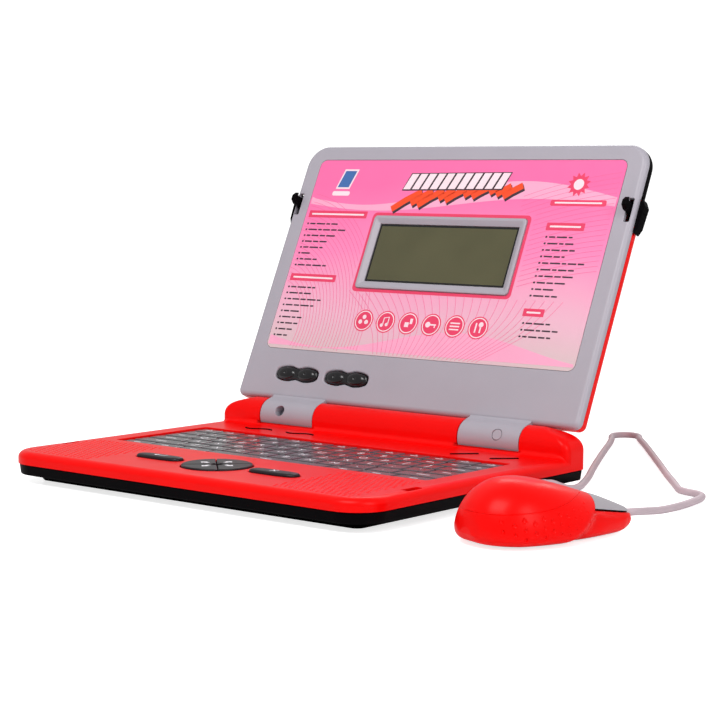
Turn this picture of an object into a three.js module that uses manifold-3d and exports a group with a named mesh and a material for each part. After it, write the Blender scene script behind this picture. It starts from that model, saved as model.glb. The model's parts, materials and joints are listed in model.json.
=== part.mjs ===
// Toy laptop computer with a corded mouse.
// Millimetres. +X runs along the laptop's width, +Y points to its back and +Z is up.
// The origin is the middle of the flat plate that the laptop rests on.
// The lid stands open; its pieces are drawn in the lid's own frame, whose x is the hinge line,
// y runs from the hinge to the lid's free edge and z points out of the screen side.

import * as THREE from 'three';
import { mergeVertices } from 'three/addons/utils/BufferGeometryUtils.js';
import Module from 'manifold-3d';

const wasm = await Module();
wasm.setup();

// ---------------------------------------------------------------- driving dimensions

const gap = 0.3;                 // clearance between neighbouring pieces

const base = {
  width: 270, depth: 206,
  deckZ: 18.1, splitZ: 10.5, bandZ: 4.5,
  frontRadius: 20, backRadius: 5,
  wall: 2, restInset: 15, plinthInset: 12.2, plinthZ: 3.7,
};

const hinge = {
  y: 92.6, z: 24.1, radius: 10.4, pocketRadius: 10.9, troughWall: 1.5,
  inner: 57, outer: 101, pinRadius: 2, boreRadius: 2.3,
  wellX: 85, wellRadius: 3.6,
  notchFloor: 19.9,              // lowest height that the lid's neck needs free when it is closed
};

const lid = {
  openAngle: 114.8,
  halfWidth: 133.6, bottom: 10.7, top: 192.5,
  face: 2.3, split: -1.7, back: -9.7,
  topRadius: 15, bottomRadius: 4.5, wall: 2,
};

const panel = { halfWidth: 120.8, bottom: 44.8, top: 181.7, radius: 5, depth: 0.9, thickness: 0.4 };
const screen = { halfWidth: 54.8, bottom: 95.4, top: 136.1, frame: 5.2, raise: 1 };
const rocker = { y: 28, left: -87, right: -45.7, lobe: 8.4, halfLength: 17.2, halfWidth: 4.8 };
const latch = { x: 129.6, y: 149.5, hookLength: 7.4 };
const band = { start: 158.5, width: 3 };

const keys = {
  halfWidth: 118.5, front: -29, back: 50, top: 17.1, rows: 6, gap: 1.1,
};
const oval = { x: 43.5, y: -66, halfLength: 16.6, halfWidth: 5 };
const arrows = { y: -65, radius: 20, gap: 0.8 };
const jack = { y: 37, z: 9, radius: 3.6 };
const door = { halfWidth: 54, front: 74, back: 87, tongue: 66, tongueHalf: 5, screwY: 70.3 };

const mouse = {
  x: 202.1, y: -42.7, heading: 70,
  wall: 2, floorTop: 3.7,
  buttonFoot: { x: 16.3, z: 14.8 },      // rear lower corner of the buttons
  buttonLean: 0.95,                    // how far the rear edge leans forwards for each mm of height
  cheekFall: 0.175,                    // how far the lower edge drops for each mm towards the nose
};
const cordDiameter = 4.2;

// ---------------------------------------------------------------- materials

const finish = (color, roughness, metalness = 0) =>
  new THREE.MeshStandardMaterial({ color, roughness, metalness });

const material = {
  red: finish(0xf01408, 0.35),
  black: finish(0x141216, 0.45),
  grey: finish(0xaaa5ad, 0.5),
  keyGrey: finish(0x5a585f, 0.6),
  darkKey: finish(0x35333a, 0.45),
  pink: finish(0xff8fb8, 0.4),
  display: finish(0x5f5c41, 0.15),
  board: finish(0x1f6b3a, 0.5),
  steel: finish(0xb8bcc2, 0.3, 1),
  cell: finish(0xb98a2e, 0.35, 0.6),
  cord: finish(0xbeaab2, 0.55),
  clear: finish(0xdfe6ea, 0.1),
};

// ---------------------------------------------------------------- solid helpers

function solid(geometry) {
  const bare = geometry.clone();
  bare.deleteAttribute('normal');
  bare.deleteAttribute('uv');
  const merged = mergeVertices(bare, 1e-4);
  const index = merged.index.array;
  const triangles = [];
  for (let i = 0; i < index.length; i += 3) {
    const [a, b, c] = [index[i], index[i + 1], index[i + 2]];
    if (a !== b && b !== c && c !== a) triangles.push(a, b, c);
  }
  return new wasm.Manifold(new wasm.Mesh({
    numProp: 3,
    vertProperties: merged.attributes.position.array,
    triVerts: new Uint32Array(triangles),
  }));
}

function toGeometry(body) {
  const mesh = body.getMesh();
  const geometry = new THREE.BufferGeometry();
  geometry.setAttribute('position', new THREE.BufferAttribute(mesh.vertProperties, 3));
  geometry.setIndex(new THREE.BufferAttribute(mesh.triVerts, 1));
  geometry.computeVertexNormals();
  return geometry;
}

const union = (...bodies) => bodies.flat().reduce((all, one) => all.add(one));
const cut = (body, ...tools) => tools.flat().reduce((left, tool) => left.subtract(tool), body);
const moved = (body, x, y, z) => body.translate([x, y, z]);
const mirrored = (body) => body.mirror([1, 0, 0]);

function box(x0, x1, y0, y1, z0, z1) {
  const geometry = new THREE.BoxGeometry(x1 - x0, y1 - y0, z1 - z0);
  return moved(solid(geometry), (x0 + x1) / 2, (y0 + y1) / 2, (z0 + z1) / 2);
}

// A round bar between two values along one axis.
function rod(axis, from, to, radius, sides = 20, endRadius = radius) {
  const geometry = new THREE.CylinderGeometry(endRadius, radius, to - from, sides);
  geometry.translate(0, (from + to) / 2, 0);
  if (axis === 'x') geometry.rotateZ(-Math.PI / 2);
  if (axis === 'z') geometry.rotateX(Math.PI / 2);
  return solid(geometry);
}

// Solid through a list of closed outlines with equal point counts; each outline is convex.
function loft(rings) {
  const count = rings[0].length;
  const points = rings.flat();
  const index = [];
  for (let level = 0; level + 1 < rings.length; level++) {
    for (let i = 0; i < count; i++) {
      const a = level * count + i;
      const b = level * count + (i + 1) % count;
      index.push(a, b, b + count, a, b + count, a + count);
    }
  }
  const last = (rings.length - 1) * count;
  for (let i = 1; i + 1 < count; i++) {
    index.push(0, i + 1, i);
    index.push(last, last + i, last + i + 1);
  }
  const geometry = new THREE.BufferGeometry().setFromPoints(points);
  geometry.setIndex(index);
  return solid(geometry);
}

// Anticlockwise outline of a rectangle with its own radius at the low-y and the high-y corners.
function roundedOutline(x0, x1, y0, y1, lowRadius, highRadius, z = 0, steps = 6) {
  const corners = [
    [x1 - lowRadius, y0 + lowRadius, lowRadius, -90],
    [x1 - highRadius, y1 - highRadius, highRadius, 0],
    [x0 + highRadius, y1 - highRadius, highRadius, 90],
    [x0 + lowRadius, y0 + lowRadius, lowRadius, 180],
  ];
  return corners.flatMap(([cx, cy, radius, start]) =>
    Array.from({ length: steps + 1 }, (_, i) => {
      const angle = THREE.MathUtils.degToRad(start + (90 * i) / steps);
      return new THREE.Vector3(cx + radius * Math.cos(angle), cy + radius * Math.sin(angle), z);
    }));
}

function roundedBlock(x0, x1, y0, y1, radius, z0, z1, steps = 6) {
  return loft([z0, z1].map((z) => roundedOutline(x0, x1, y0, y1, radius, radius, z, steps)));
}

const baseOutline = (inset, z) => roundedOutline(
  inset - base.width / 2, base.width / 2 - inset,
  inset - base.depth / 2, base.depth / 2 - inset,
  Math.max(base.frontRadius - inset, 4), Math.max(base.backRadius - inset, 3), z, 5);

// Levels are pairs of inset and height.
const baseStack = (levels) => loft(levels.map(([inset, z]) => baseOutline(inset, z)));

const lidOutline = (inset, z) => roundedOutline(
  inset - lid.halfWidth, lid.halfWidth - inset, lid.bottom + inset, lid.top - inset,
  Math.max(lid.bottomRadius - inset, 1), Math.max(lid.topRadius - inset, 2), z, 6);

const lidStack = (levels) => loft(levels.map(([inset, z]) => lidOutline(inset, z)));

function extrudeShape(points, depth) {
  const shape = new THREE.Shape(points.map(([x, y]) => new THREE.Vector2(x, y)));
  return solid(new THREE.ExtrudeGeometry(shape, { depth, bevelEnabled: false }));
}

// ---------------------------------------------------------------- scene groups

const toy = new THREE.Group();
const lidGroup = new THREE.Group();
lidGroup.position.set(0, hinge.y, hinge.z);
lidGroup.rotation.x = THREE.MathUtils.degToRad(180 - lid.openAngle);
const mouseGroup = new THREE.Group();
mouseGroup.position.set(mouse.x, mouse.y, 0);
mouseGroup.rotation.z = THREE.MathUtils.degToRad(mouse.heading);
toy.add(lidGroup, mouseGroup);

function addPiece(group, name, body, look) {
  const mesh = new THREE.Mesh(toGeometry(body), look);
  mesh.name = name;
  group.add(mesh);
}

// ---------------------------------------------------------------- base casing

const deckInside = base.deckZ - base.wall;
const caseScrews = [[-112, -80], [112, -80], [-114, 79], [114, 79]];

// Points of the ridge's rounded end, as distance in from the side and height.
const ridgeEnd = [[0, 23], [2.2, 27.2], [6.5, 30.6], [23, 35]];

// The round ridge across the back of the base, grown or shrunk by one wall for its inside.
function ridge(inset) {
  const half = base.width / 2 - inset;
  const reach = hinge.radius - inset;
  const barrel = moved(rod('x', -half, half, reach, 24), 0, hinge.y, hinge.z);
  const skirt = box(-half, half, hinge.y - reach, hinge.y + reach, base.splitZ, hinge.z);
  const right = ridgeEnd.map(([x, z]) => [half - x, z - inset]);
  const left = right.map(([x, z]) => [-x, z]).reverse();
  const ends = extrudeShape([[-half, 0], [half, 0], ...right, ...left], 60)
    .rotate([90, 0, 0]).translate([0, hinge.y + 30, 0]);
  return union(barrel, skirt).intersect(ends);
}

function hingeBay(radius, from, to, sides = 24) {
  return moved(rod('x', from, to, radius, sides), 0, hinge.y, hinge.z);
}

function screwPost(x, y, from, to) {
  return moved(rod('z', from, to, 3.6, 12), x, y, 0);
}

function screwBore(x, y, from, to) {
  return moved(rod('z', from, to, 1.7, 8), x, y, 0);
}

function ovalButtonOutline(extra, z) {
  const { halfLength, halfWidth } = oval;
  const count = 20;
  const power = 0.55;
  return Array.from({ length: count }, (_, i) => {
    const angle = (2 * Math.PI * i) / count;
    const cos = Math.cos(angle);
    const sin = Math.sin(angle);
    return new THREE.Vector3(
      (halfLength + extra) * Math.sign(cos) * Math.abs(cos) ** power,
      (halfWidth + extra) * Math.sign(sin) * Math.abs(sin) ** power, z);
  });
}

const ovalPrism = (extra, z0, z1) => loft([ovalButtonOutline(extra, z0), ovalButtonOutline(extra, z1)]);

// A slot bent into one long wave, as a strip of constant width.
function waveSlot(x, y) {
  const length = 23;
  const width = 1.5;
  const steps = 12;
  const line = Array.from({ length: steps + 1 }, (_, i) => {
    const t = i / steps;
    return [x + length * (t - 0.5), y + 2.2 * Math.sin(2 * Math.PI * t)];
  });
  const shape = [
    ...line.map(([px, py]) => [px, py - width / 2]),
    ...line.map(([px, py]) => [px, py + width / 2]).reverse(),
  ];
  return moved(extrudeShape(shape, 6), 0, 0, 14);
}

function straightSlot(x, y) {
  return moved(roundedBlock(-8.5, 8.5, -0.8, 0.8, 0.7, 14, 20, 2).rotate([0, 0, 45]), x, y, 0);
}

const soundSlots = [
  waveSlot(-86.5, 65), waveSlot(-52, 65), straightSlot(76.5, 63), straightSlot(104.7, 63),
];

function baseTopShell() {
  const outerPlan = loft([baseOutline(0, 0), baseOutline(0, 60)]);
  const innerPlan = loft([baseOutline(base.wall, 0), baseOutline(base.wall, 60)]);
  const start = base.splitZ + gap;
  const outer = union(
    baseStack([[0, start], [0, 14], [0.5, 15.6], [1.6, 17], [3.2, 17.8], [5, base.deckZ]]),
    ridge(0).intersect(outerPlan).intersect(box(-200, 200, -200, 200, start, 60)));
  const inner = union(
    baseStack([[base.wall, start - 1], [base.wall, 13], [4.5, deckInside]]),
    ridge(base.wall).intersect(innerPlan));

  const troughs = [1, -1].map((side) => {
    const ends = [side * (hinge.inner - 2.2), side * (hinge.outer + 2.2)].sort((a, b) => a - b);
    return hingeBay(hinge.pocketRadius + hinge.troughWall, ...ends);
  });
  const lowest = box(-200, 200, -200, 200, 4.9, 60);
  const posts = caseScrews.map(([x, y]) => screwPost(x, y, base.splitZ + gap, y > 0 ? 30 : 17));
  posts.push(screwPost(0, door.screwY, 4, 17));
  const insides = union(troughs).intersect(outerPlan).intersect(lowest);
  const bossLimit = union(outer, box(-200, 200, -200, 200, 4.9, base.deckZ).intersect(outerPlan));
  const shell = union(cut(outer, inner), insides.intersect(bossLimit), union(posts).intersect(bossLimit));

  const bays = [1, -1].flatMap((side) => {
    const ends = [side * (hinge.inner - 0.5), side * (hinge.outer + 0.5)].sort((a, b) => a - b);
    return [
      hingeBay(hinge.pocketRadius, ...ends),
      box(...ends, hinge.y - 20, hinge.y + 20, hinge.notchFloor, 60).intersect(hingeBay(22, ...ends)),
      box(...ends, hinge.y, hinge.y + 20, base.splitZ + 2.5, 60),
    ];
  });
  const bores = hingeBay(hinge.boreRadius, -hinge.outer - 6, -hinge.inner + 6)
    .add(hingeBay(hinge.boreRadius, hinge.inner - 6, hinge.outer + 6));
  const latchSlots = [1, -1].map((side) =>
    box(side * latch.x - 2.4, side * latch.x + 2.4, -63.2, -49.8, 8, 20));
  return cut(shell, bays, bores,
    box(-keys.halfWidth, keys.halfWidth, keys.front, keys.back, 12, 20),
    moved(ovalPrism(0.5, 12, 20), -oval.x, oval.y, 0),
    moved(ovalPrism(0.5, 12, 20), oval.x, oval.y, 0),
    moved(rod('z', 12, 20, arrows.radius + 0.5, 28), 0, arrows.y, 0),
    latchSlots, soundSlots,
    moved(rod('x', 120, 140, jack.radius, 14), 0, jack.y, jack.z),
    [...caseScrews, [0, door.screwY]].map(([x, y]) => screwBore(x, y, 2, 15)));
}

function baseBottomShell() {
  const outer = baseStack([[base.restInset, 0], [base.plinthInset, base.plinthZ], [1.6, base.bandZ],
    [0.8, base.splitZ]]);
  const inner = baseStack([[base.restInset + 1.5, base.wall], [base.plinthInset + 0.8, 5.2], [4.4, 5.8],
    [2.8, base.splitZ + 1]]);
  const posts = caseScrews.map(([x, y]) => screwPost(x, y, 1, base.splitZ - 0.6));
  const heads = caseScrews.map(([x, y]) => moved(rod('z', -1, 3, 3.1, 10), x, y, 0));
  const tunnels = caseScrews.map(([x, y]) => screwBore(x, y, 1, 12));
  const shell = union(cut(outer, inner), posts);
  const { halfWidth, front, back, tongue, tongueHalf } = door;
  return cut(shell, heads, tunnels,
    box(-halfWidth, halfWidth, front, back, -1, 5),
    box(-tongueHalf, tongueHalf, tongue, front + 1, -1, 5),
    moved(rod('x', 120, 140, jack.radius, 14), 0, jack.y, jack.z));
}

addPiece(toy, 'base_top_shell', baseTopShell(), material.red);
addPiece(toy, 'base_bottom_shell', baseBottomShell(), material.black);

// ---------------------------------------------------------------- keyboard and deck buttons

// Key widths along each row, from the front row to the back row, in key units.
const keyRows = [
  [1.3, 1.3, 1.3, 5, 1.3, 1.3, 1.5],
  [2.1, 1, 1, 1, 1, 1, 1, 1, 1, 1, 1.9],
  [1.7, 1, 1, 1, 1, 1, 1, 1, 1, 1, 1, 1.3],
  [1.4, 1, 1, 1, 1, 1, 1, 1, 1, 1, 1, 1, 1.6],
  [1, 1, 1, 1, 1, 1, 1, 1, 1, 1, 1, 1, 1, 1],
  [1, 1, 1, 1, 1, 1, 1, 1, 1, 1, 1, 1, 1],
];

function keyCap(x0, x1, y0, y1) {
  const slope = 0.8;
  const corners = (inset, z) => [
    new THREE.Vector3(x0 + inset, y0 + inset, z), new THREE.Vector3(x1 - inset, y0 + inset, z),
    new THREE.Vector3(x1 - inset, y1 - inset, z), new THREE.Vector3(x0 + inset, y1 - inset, z),
  ];
  return loft([corners(0, 15), corners(slope, keys.top)]);
}

function keyboardMat() {
  const pitch = (keys.back - keys.front) / keys.rows;
  const span = 2 * keys.halfWidth;
  const caps = keyRows.flatMap((row, r) => {
    const unit = span / row.reduce((a, b) => a + b);
    let x = -keys.halfWidth;
    return row.map((width) => {
      const x0 = x;
      x += width * unit;
      const y0 = keys.front + r * pitch;
      return keyCap(x0 + keys.gap / 2, x - keys.gap / 2, y0 + keys.gap / 2, y0 + pitch - keys.gap / 2);
    });
  });
  const sheet = box(-keys.halfWidth - 2, keys.halfWidth + 2, keys.front - 2, keys.back + 2, 13.8, 15.4);
  return union(sheet, caps);
}

addPiece(toy, 'keyboard_mat', keyboardMat(), material.keyGrey);

// Raised crown above the deck, and a flange that keeps the button in.
function ovalButton() {
  return union(
    loft([ovalButtonOutline(0, 15), ovalButtonOutline(0, 18.9), ovalButtonOutline(-0.9, 19.6),
      ovalButtonOutline(-2.4, 19.9)]),
    ovalPrism(1.6, 14, 15.6));
}

addPiece(toy, 'enter_button', moved(ovalButton(), -oval.x, oval.y, 0), material.darkKey);
addPiece(toy, 'escape_button', moved(ovalButton(), oval.x, oval.y, 0), material.darkKey);

function arrowKey(turn) {
  const half = arrows.gap / 2;
  const disc = union(
    rod('z', 15, 18.4, arrows.radius, 28),
    rod('z', 18.3, 19, arrows.radius, 28, arrows.radius - 0.8),
    rod('z', 14, 15.6, arrows.radius + 1.6, 28));
  const quarter = box(half, 30, half, 30, 0, 30).rotate([0, 0, -45]);
  const hub = rod('z', 0, 30, 3.4, 12);
  return moved(disc.intersect(quarter.rotate([0, 0, turn])).subtract(hub), 0, arrows.y, 0);
}

const arrowTurns = { right: 0, up: 90, left: 180, down: 270 };
for (const [side, turn] of Object.entries(arrowTurns)) {
  addPiece(toy, `arrow_key_${side}`, arrowKey(turn), material.darkKey);
}

// ---------------------------------------------------------------- inside the base

const boardTop = 9.6;

addPiece(toy, 'main_circuit_board',
  box(-106, 106, -88, 47, boardTop - 1.6, boardTop), material.board);

const speaker = union(
  rod('z', 12.4, 15.6, 9.6, 20),
  rod('z', 9, 12.6, 5.5, 14, 9));
addPiece(toy, 'speaker', moved(speaker, -69, 63, 0), material.black);

function batteryDoor() {
  const { halfWidth, front, back, tongue, tongueHalf, screwY } = door;
  const plate = union(
    box(-halfWidth + gap, halfWidth - gap, front + gap, back - gap, 0, 1.8),
    box(-tongueHalf + gap, tongueHalf - gap, tongue + gap, front + 1, 0, 3.4));
  const screwHole = moved(rod('z', -1, 4, 1.5, 10), 0, screwY, 0);
  const sink = moved(rod('z', -1, 2, 2.7, 10), 0, screwY, 0);
  const ribs = [-5, 0, 5].map((x) => box(x + 18.5, x + 21.5, 78, 83, -1, 0.6));
  return cut(plate, screwHole, sink, ribs);
}
addPiece(toy, 'battery_door', batteryDoor(), material.black);

function panScrew(length) {
  return union(rod('z', 0, 1.6, 2.3, 10), rod('z', 1, length, 1.15, 8));
}
addPiece(toy, 'battery_door_screw', moved(panScrew(9), 0, door.screwY, 0.2), material.steel);

caseScrews.forEach(([x, y], i) => {
  addPiece(toy, `case_screw_${i + 1}`, moved(panScrew(13.5), x, y, 1.2), material.steel);
});

// Two cells end to end low down and two above them inside the ridge.
const cell = union(rod('x', -24.6, 24.6, 6.9, 14), rod('x', 24, 25.2, 2.7, 8));
const cellPlaces = [[-26, 82, 9.1], [26, 82, 9.1], [-26, hinge.y, hinge.z], [26, hinge.y, hinge.z]];
cellPlaces.forEach(([x, y, z], i) => {
  addPiece(toy, `battery_${i + 1}`, moved(cell, x, y, z), material.cell);
});

// The jack in the side wall and the right-angled plug that sits in it.
const wallX = base.width / 2;
const socket = cut(
  union(box(121.5, 129.8, jack.y - 5, jack.y + 5, 6.4, 12),
    rod('x', 129, wallX - 0.2, jack.radius - gap, 16).translate([0, jack.y, jack.z])),
  moved(rod('x', 123, wallX + 1, 1.8, 14), 0, jack.y, jack.z));
addPiece(toy, 'mouse_socket', socket, material.black);

for (const [side, sign] of [['left', -1], ['right', 1]]) {
  const ends = [sign * (hinge.inner - 1.8), sign * (hinge.outer + 1.8)].sort((a, b) => a - b);
  addPiece(toy, `hinge_pin_${side}`, hingeBay(hinge.pinRadius, ...ends, 10), material.steel);
}

// ---------------------------------------------------------------- lid front: bezel

const window = {
  x0: -screen.halfWidth, x1: screen.halfWidth, y0: screen.bottom, y1: screen.top,
};

function screenFrame() {
  const { x0, x1, y0, y1 } = window;
  const f = screen.frame;
  const high = lid.face + screen.raise;
  const outer = loft([
    roundedOutline(x0 - f, x1 + f, y0 - f, y1 + f, 2.5, 2.5, lid.face - 2, 3),
    roundedOutline(x0 - f, x1 + f, y0 - f, y1 + f, 2.5, 2.5, high - 0.4, 3),
    roundedOutline(x0 - f + 0.5, x1 + f - 0.5, y0 - f + 0.5, y1 + f - 0.5, 2.5, 2.5, high, 3),
  ]);
  const funnel = loft([
    roundedOutline(x0, x1, y0, y1, 1, 1, lid.face - 4, 3),
    roundedOutline(x0, x1, y0, y1, 1, 1, lid.face - 1.4, 3),
    roundedOutline(x0 - 3.4, x1 + 3.4, y0 - 3.4, y1 + 3.4, 1.5, 1.5, high + 0.01, 3),
  ]);
  return { outer, funnel };
}

// Two round lobes with a waist between them.
function peanutOutline(extra, z) {
  const count = 22;
  return Array.from({ length: count }, (_, i) => {
    const angle = (2 * Math.PI * i) / count;
    const waist = 1 - 0.16 * Math.exp(-(((Math.cos(angle) * rocker.halfLength) / 4) ** 2));
    const cos = Math.cos(angle);
    const sin = Math.sin(angle);
    return new THREE.Vector3(
      (rocker.halfLength + extra) * Math.sign(cos) * Math.abs(cos) ** 0.8,
      (rocker.halfWidth + extra) * waist * Math.sign(sin) * Math.abs(sin) ** 0.6, z);
  });
}

function knuckle() {
  const { inner, outer, radius, wellX, wellRadius } = hinge;
  const barrel = rod('x', inner, outer, radius, 24);
  const neck = extrudeShape([
    [0, -radius * 0.4], [lid.bottom - 0.6, lid.split], [lid.bottom + 2, lid.split],
    [lid.bottom + 2, lid.face],
    [radius * 0.92, radius * 0.38], [0, radius],
  ], outer - inner).rotate([90, 0, 90]).translate([inner, 0, 0]);
  const hollow = rod('x', inner + 2, outer - 2, radius - 2, 14);
  const boss = rod('x', inner, outer, 4.4, 10);
  const screwTube = moved(rod('z', 0, radius, wellRadius + 1.4, 14), wellX, 0, 0);
  const ring = union(cut(union(barrel, neck), hollow), boss, screwTube.intersect(barrel));
  return cut(ring,
    rod('x', inner - 1, outer + 1, hinge.boreRadius, 12),
    moved(rod('z', 3.2, radius + 2, wellRadius, 16), wellX, 0, 0));
}

// The way for the screen's wires from a knuckle into the lid.
const wireWay = box(hinge.inner + 6, hinge.outer - 6, 5, lid.bottom + 8, -3.4, -0.6);

function lidBezel() {
  const { face, split, wall } = lid;
  const plate = lidStack([[0, split], [0, face - 3.4], [0.4, face - 1.8], [1.4, face - 0.6], [3, face]]);
  const hollow = lidStack([[wall, split - 1], [wall, face - 2.6], [3, face - 2.2]]);
  const frame = screenFrame();
  const { halfWidth, bottom, top, radius } = panel;
  const recess = roundedBlock(-halfWidth, halfWidth, bottom, top, radius, face - panel.depth, 8);
  const rockerHoles = [rocker.left, rocker.right].map((x) =>
    moved(loft([peanutOutline(0.6, -8), peanutOutline(0.6, 8)]), x, rocker.y, 0));
  const hookSlots = [1, -1].map((side) =>
    box(side * latch.x - 2, side * latch.x + 2, latch.y - 8.5, latch.y + 7, face - 4, face + 5));
  const tabSlots = [1, -1].map((side) => {
    const ends = [side * 128, side * 140].sort((a, b) => a - b);
    return box(...ends, latch.y - 14.5, latch.y + 9.5, split - 1, face - 3.8);
  });
  const shell = union(cut(plate, hollow, recess), frame.outer);
  return cut(union(shell, knuckle(), mirrored(knuckle())),
    frame.funnel, rockerHoles, hookSlots, tabSlots, wireWay, mirrored(wireWay));
}

addPiece(lidGroup, 'lid_bezel', lidBezel(), material.grey);

function artworkPanel() {
  const { halfWidth, bottom, top, radius, depth, thickness } = panel;
  const z0 = lid.face - depth + gap;
  const half = halfWidth - gap;
  const sheet = roundedBlock(-half, half, bottom + gap, top - gap, radius, z0, z0 + thickness);
  const f = screen.frame + gap;
  const { x0, x1, y0, y1 } = window;
  return cut(sheet, roundedBlock(x0 - f, x1 + f, y0 - f, y1 + f, 2.7, -3, 6, 3));
}
addPiece(lidGroup, 'artwork_panel', artworkPanel(), material.pink);

function lcdPanel() {
  const { x0, x1, y0, y1 } = window;
  const glassTop = lid.face - 1.4;
  return union(
    box(x0 + 0.4, x1 - 0.4, y0 + 0.4, y1 - 0.4, glassTop - 2, glassTop),
    box(x0 - 3, x1 + 3, y0 - 3, y1 + 3, glassTop - 3.6, glassTop - 1.4));
}
addPiece(lidGroup, 'lcd_panel', lcdPanel(), material.display);

addPiece(lidGroup, 'lid_circuit_board',
  box(-66, 66, 58, 152, lid.face - 7.2, lid.face - 5.6), material.board);

// Each rocker is one piece with two shallow domes; it tilts about a line across its middle.
function rockerKey() {
  const plate = loft([
    peanutOutline(0, lid.face - 3),
    peanutOutline(0, lid.face + 0.2),
    peanutOutline(-0.6, lid.face + 0.5),
  ]);
  const dome = new THREE.SphereGeometry(1, 10, 6);
  dome.scale(rocker.lobe * 0.82, rocker.halfWidth * 0.8, 1.5);
  const domes = [-1, 1].map((side) => moved(solid(dome), side * rocker.lobe, 0, lid.face + 0.4));
  const flange = box(-7, 7, -7, 7, lid.face - 4.2, lid.face - 2.8);
  return union(plate, domes, flange);
}
addPiece(lidGroup, 'volume_rocker', moved(rockerKey(), rocker.left, rocker.y, 0), material.black);
addPiece(lidGroup, 'contrast_rocker', moved(rockerKey(), rocker.right, rocker.y, 0), material.black);

// A hook through the bezel and a thumb tab on the lid's side, joined inside the lid.
function sideLatch() {
  const { x, y, hookLength } = latch;
  const tip = lid.face + hookLength;
  const root = lid.face - 4.4;
  const hook = extrudeShape([
    [y - 2.6, root], [y + 3.6, root], [y + 3.6, tip - 3], [y + 5.4, tip - 3], [y + 5.4, tip - 2.2],
    [y + 2.6, tip], [y - 0.6, tip], [y - 2.6, tip - 3],
  ], 2.8).rotate([90, 0, 90]).translate([x - 1.4, 0, 0]);
  const arm = box(x - 1.8, 135, y - 8, y + 7, root - 1.6, root + 0.2);
  const tab = extrudeShape([
    [134, y - 14], [134, y + 8], [135, y + 8], [137.6, y + 3.5], [136.8, y - 10], [135, y - 14],
  ], 6).translate([0, 0, root - 5]);
  return union(hook, arm, tab);
}
addPiece(lidGroup, 'right_latch', sideLatch(), material.black);
addPiece(lidGroup, 'left_latch', mirrored(sideLatch()), material.black);

// ---------------------------------------------------------------- lid back

const lidScrews = [[-118, 24], [118, 24], [-112, 170], [112, 170]];

function lidBackParts() {
  const { back, split, wall } = lid;
  const start = split - gap;
  const outer = lidStack([[8, back], [3.2, back + 0.5], [1.2, back + 1.8], [0.3, back + 3.6], [0, start]]);
  const inner = lidStack([[6, back + wall], [wall, back + 4.2], [wall, start + 1]]);
  const upper = box(-200, 200, band.start, 300, -50, 50);
  const belowBand = box(-200, 200, 0, band.start - gap, -50, 50);
  const core = lidStack([[band.width, back - 1], [band.width, start + 1]]);
  const coreInside = lidStack([[band.width + gap, back - 1], [band.width + gap, start + 1]]);
  const trim = cut(outer.intersect(upper), core);
  const capWall = band.width + gap + wall;
  const innerUpper = lidStack([[capWall, back + wall], [capWall, start + 1]]);
  const posts = lidScrews.map(([x, y]) => moved(rod('z', back + 1, 0, 3.4, 10), x, y, 0));
  const heads = lidScrews.map(([x, y]) => moved(rod('z', back - 1, back + 3, 2.8, 10), x, y, 0));
  const tunnels = lidScrews.map(([x, y]) => moved(rod('z', back, 0, 1.5, 8), x, y, 0));
  const lower = cut(outer.intersect(belowBand), inner);
  const cap = cut(outer.intersect(coreInside), innerUpper.intersect(inner));
  const tabSlots = [1, -1].map((side) => {
    const ends = [side * 128, side * 140].sort((a, b) => a - b);
    return box(...ends, latch.y - 14.5, latch.y + 9.5, lid.face - 6.6, 2);
  });
  const tabRecess = [1, -1].map((side) => {
    const ends = [side * 133.2, side * 140].sort((a, b) => a - b);
    return box(...ends, latch.y - 18.6, latch.y + 8.6, lid.face - 9.9, 2);
  });
  const shell = union(lower, cap, posts);
  return {
    shell: cut(shell, heads, tunnels, tabSlots, tabRecess),
    trim: cut(trim, tabSlots, tabRecess),
  };
}
const lidBack = lidBackParts();
addPiece(lidGroup, 'lid_back_shell', lidBack.shell, material.red);
addPiece(lidGroup, 'lid_edge_band', lidBack.trim, material.black);

lidScrews.forEach(([x, y], i) => {
  addPiece(lidGroup, `lid_screw_${i + 1}`, moved(panScrew(8), x, y, lid.back + 0.8), material.steel);
});

// The left knuckle's screw well is open; the right one is closed with a cap.
addPiece(lidGroup, 'hinge_cover_screw',
  moved(rod('z', 3.6, 5.4, hinge.wellRadius - 0.7, 12), -hinge.wellX, 0, 0), material.steel);
addPiece(lidGroup, 'hinge_screw_cap',
  moved(rod('z', 6.5, hinge.radius - 0.6, hinge.wellRadius - gap, 16), hinge.wellX, 0, 0), material.grey);

// ---------------------------------------------------------------- mouse

// Stations from the tail to the nose: place along the mouse, half width and height.
const mouseStations = [
  [-47, 6, 9.5], [-45.5, 12, 15.5], [-41.5, 18.8, 22.5], [-34, 24.2, 28.6], [-24, 27.6, 31.8],
  [-10, 28.6, 31], [8, 26.6, 26.2], [20, 22.6, 22.4], [30, 18.4, 19.4], [38, 15.2, 16.4],
  [45, 12.4, 13.6], [48.8, 9.6, 12], [50, 6.5, 11.2],
];

function mouseSkin(shrink) {
  const steps = 12;
  const bulge = 2 / 2.3;
  const rings = mouseStations.map(([x, halfWidth, height], i) => {
    const end = i === 0 ? shrink : i === mouseStations.length - 1 ? -shrink : 0;
    return Array.from({ length: steps + 1 }, (_, k) => {
      const angle = Math.PI * (k / steps);
      const cos = Math.cos(angle);
      const sin = Math.max(Math.sin(angle), 0);
      return new THREE.Vector3(x * (1 - shrink / 50) + end * 0.2,
        (halfWidth - shrink) * Math.sign(cos) * Math.abs(cos) ** bulge,
        (height - shrink) * sin ** bulge);
    });
  });
  return loft(rings);
}

const mouseBody = mouseSkin(0);
const mouseCavity = mouseSkin(mouse.wall);

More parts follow.
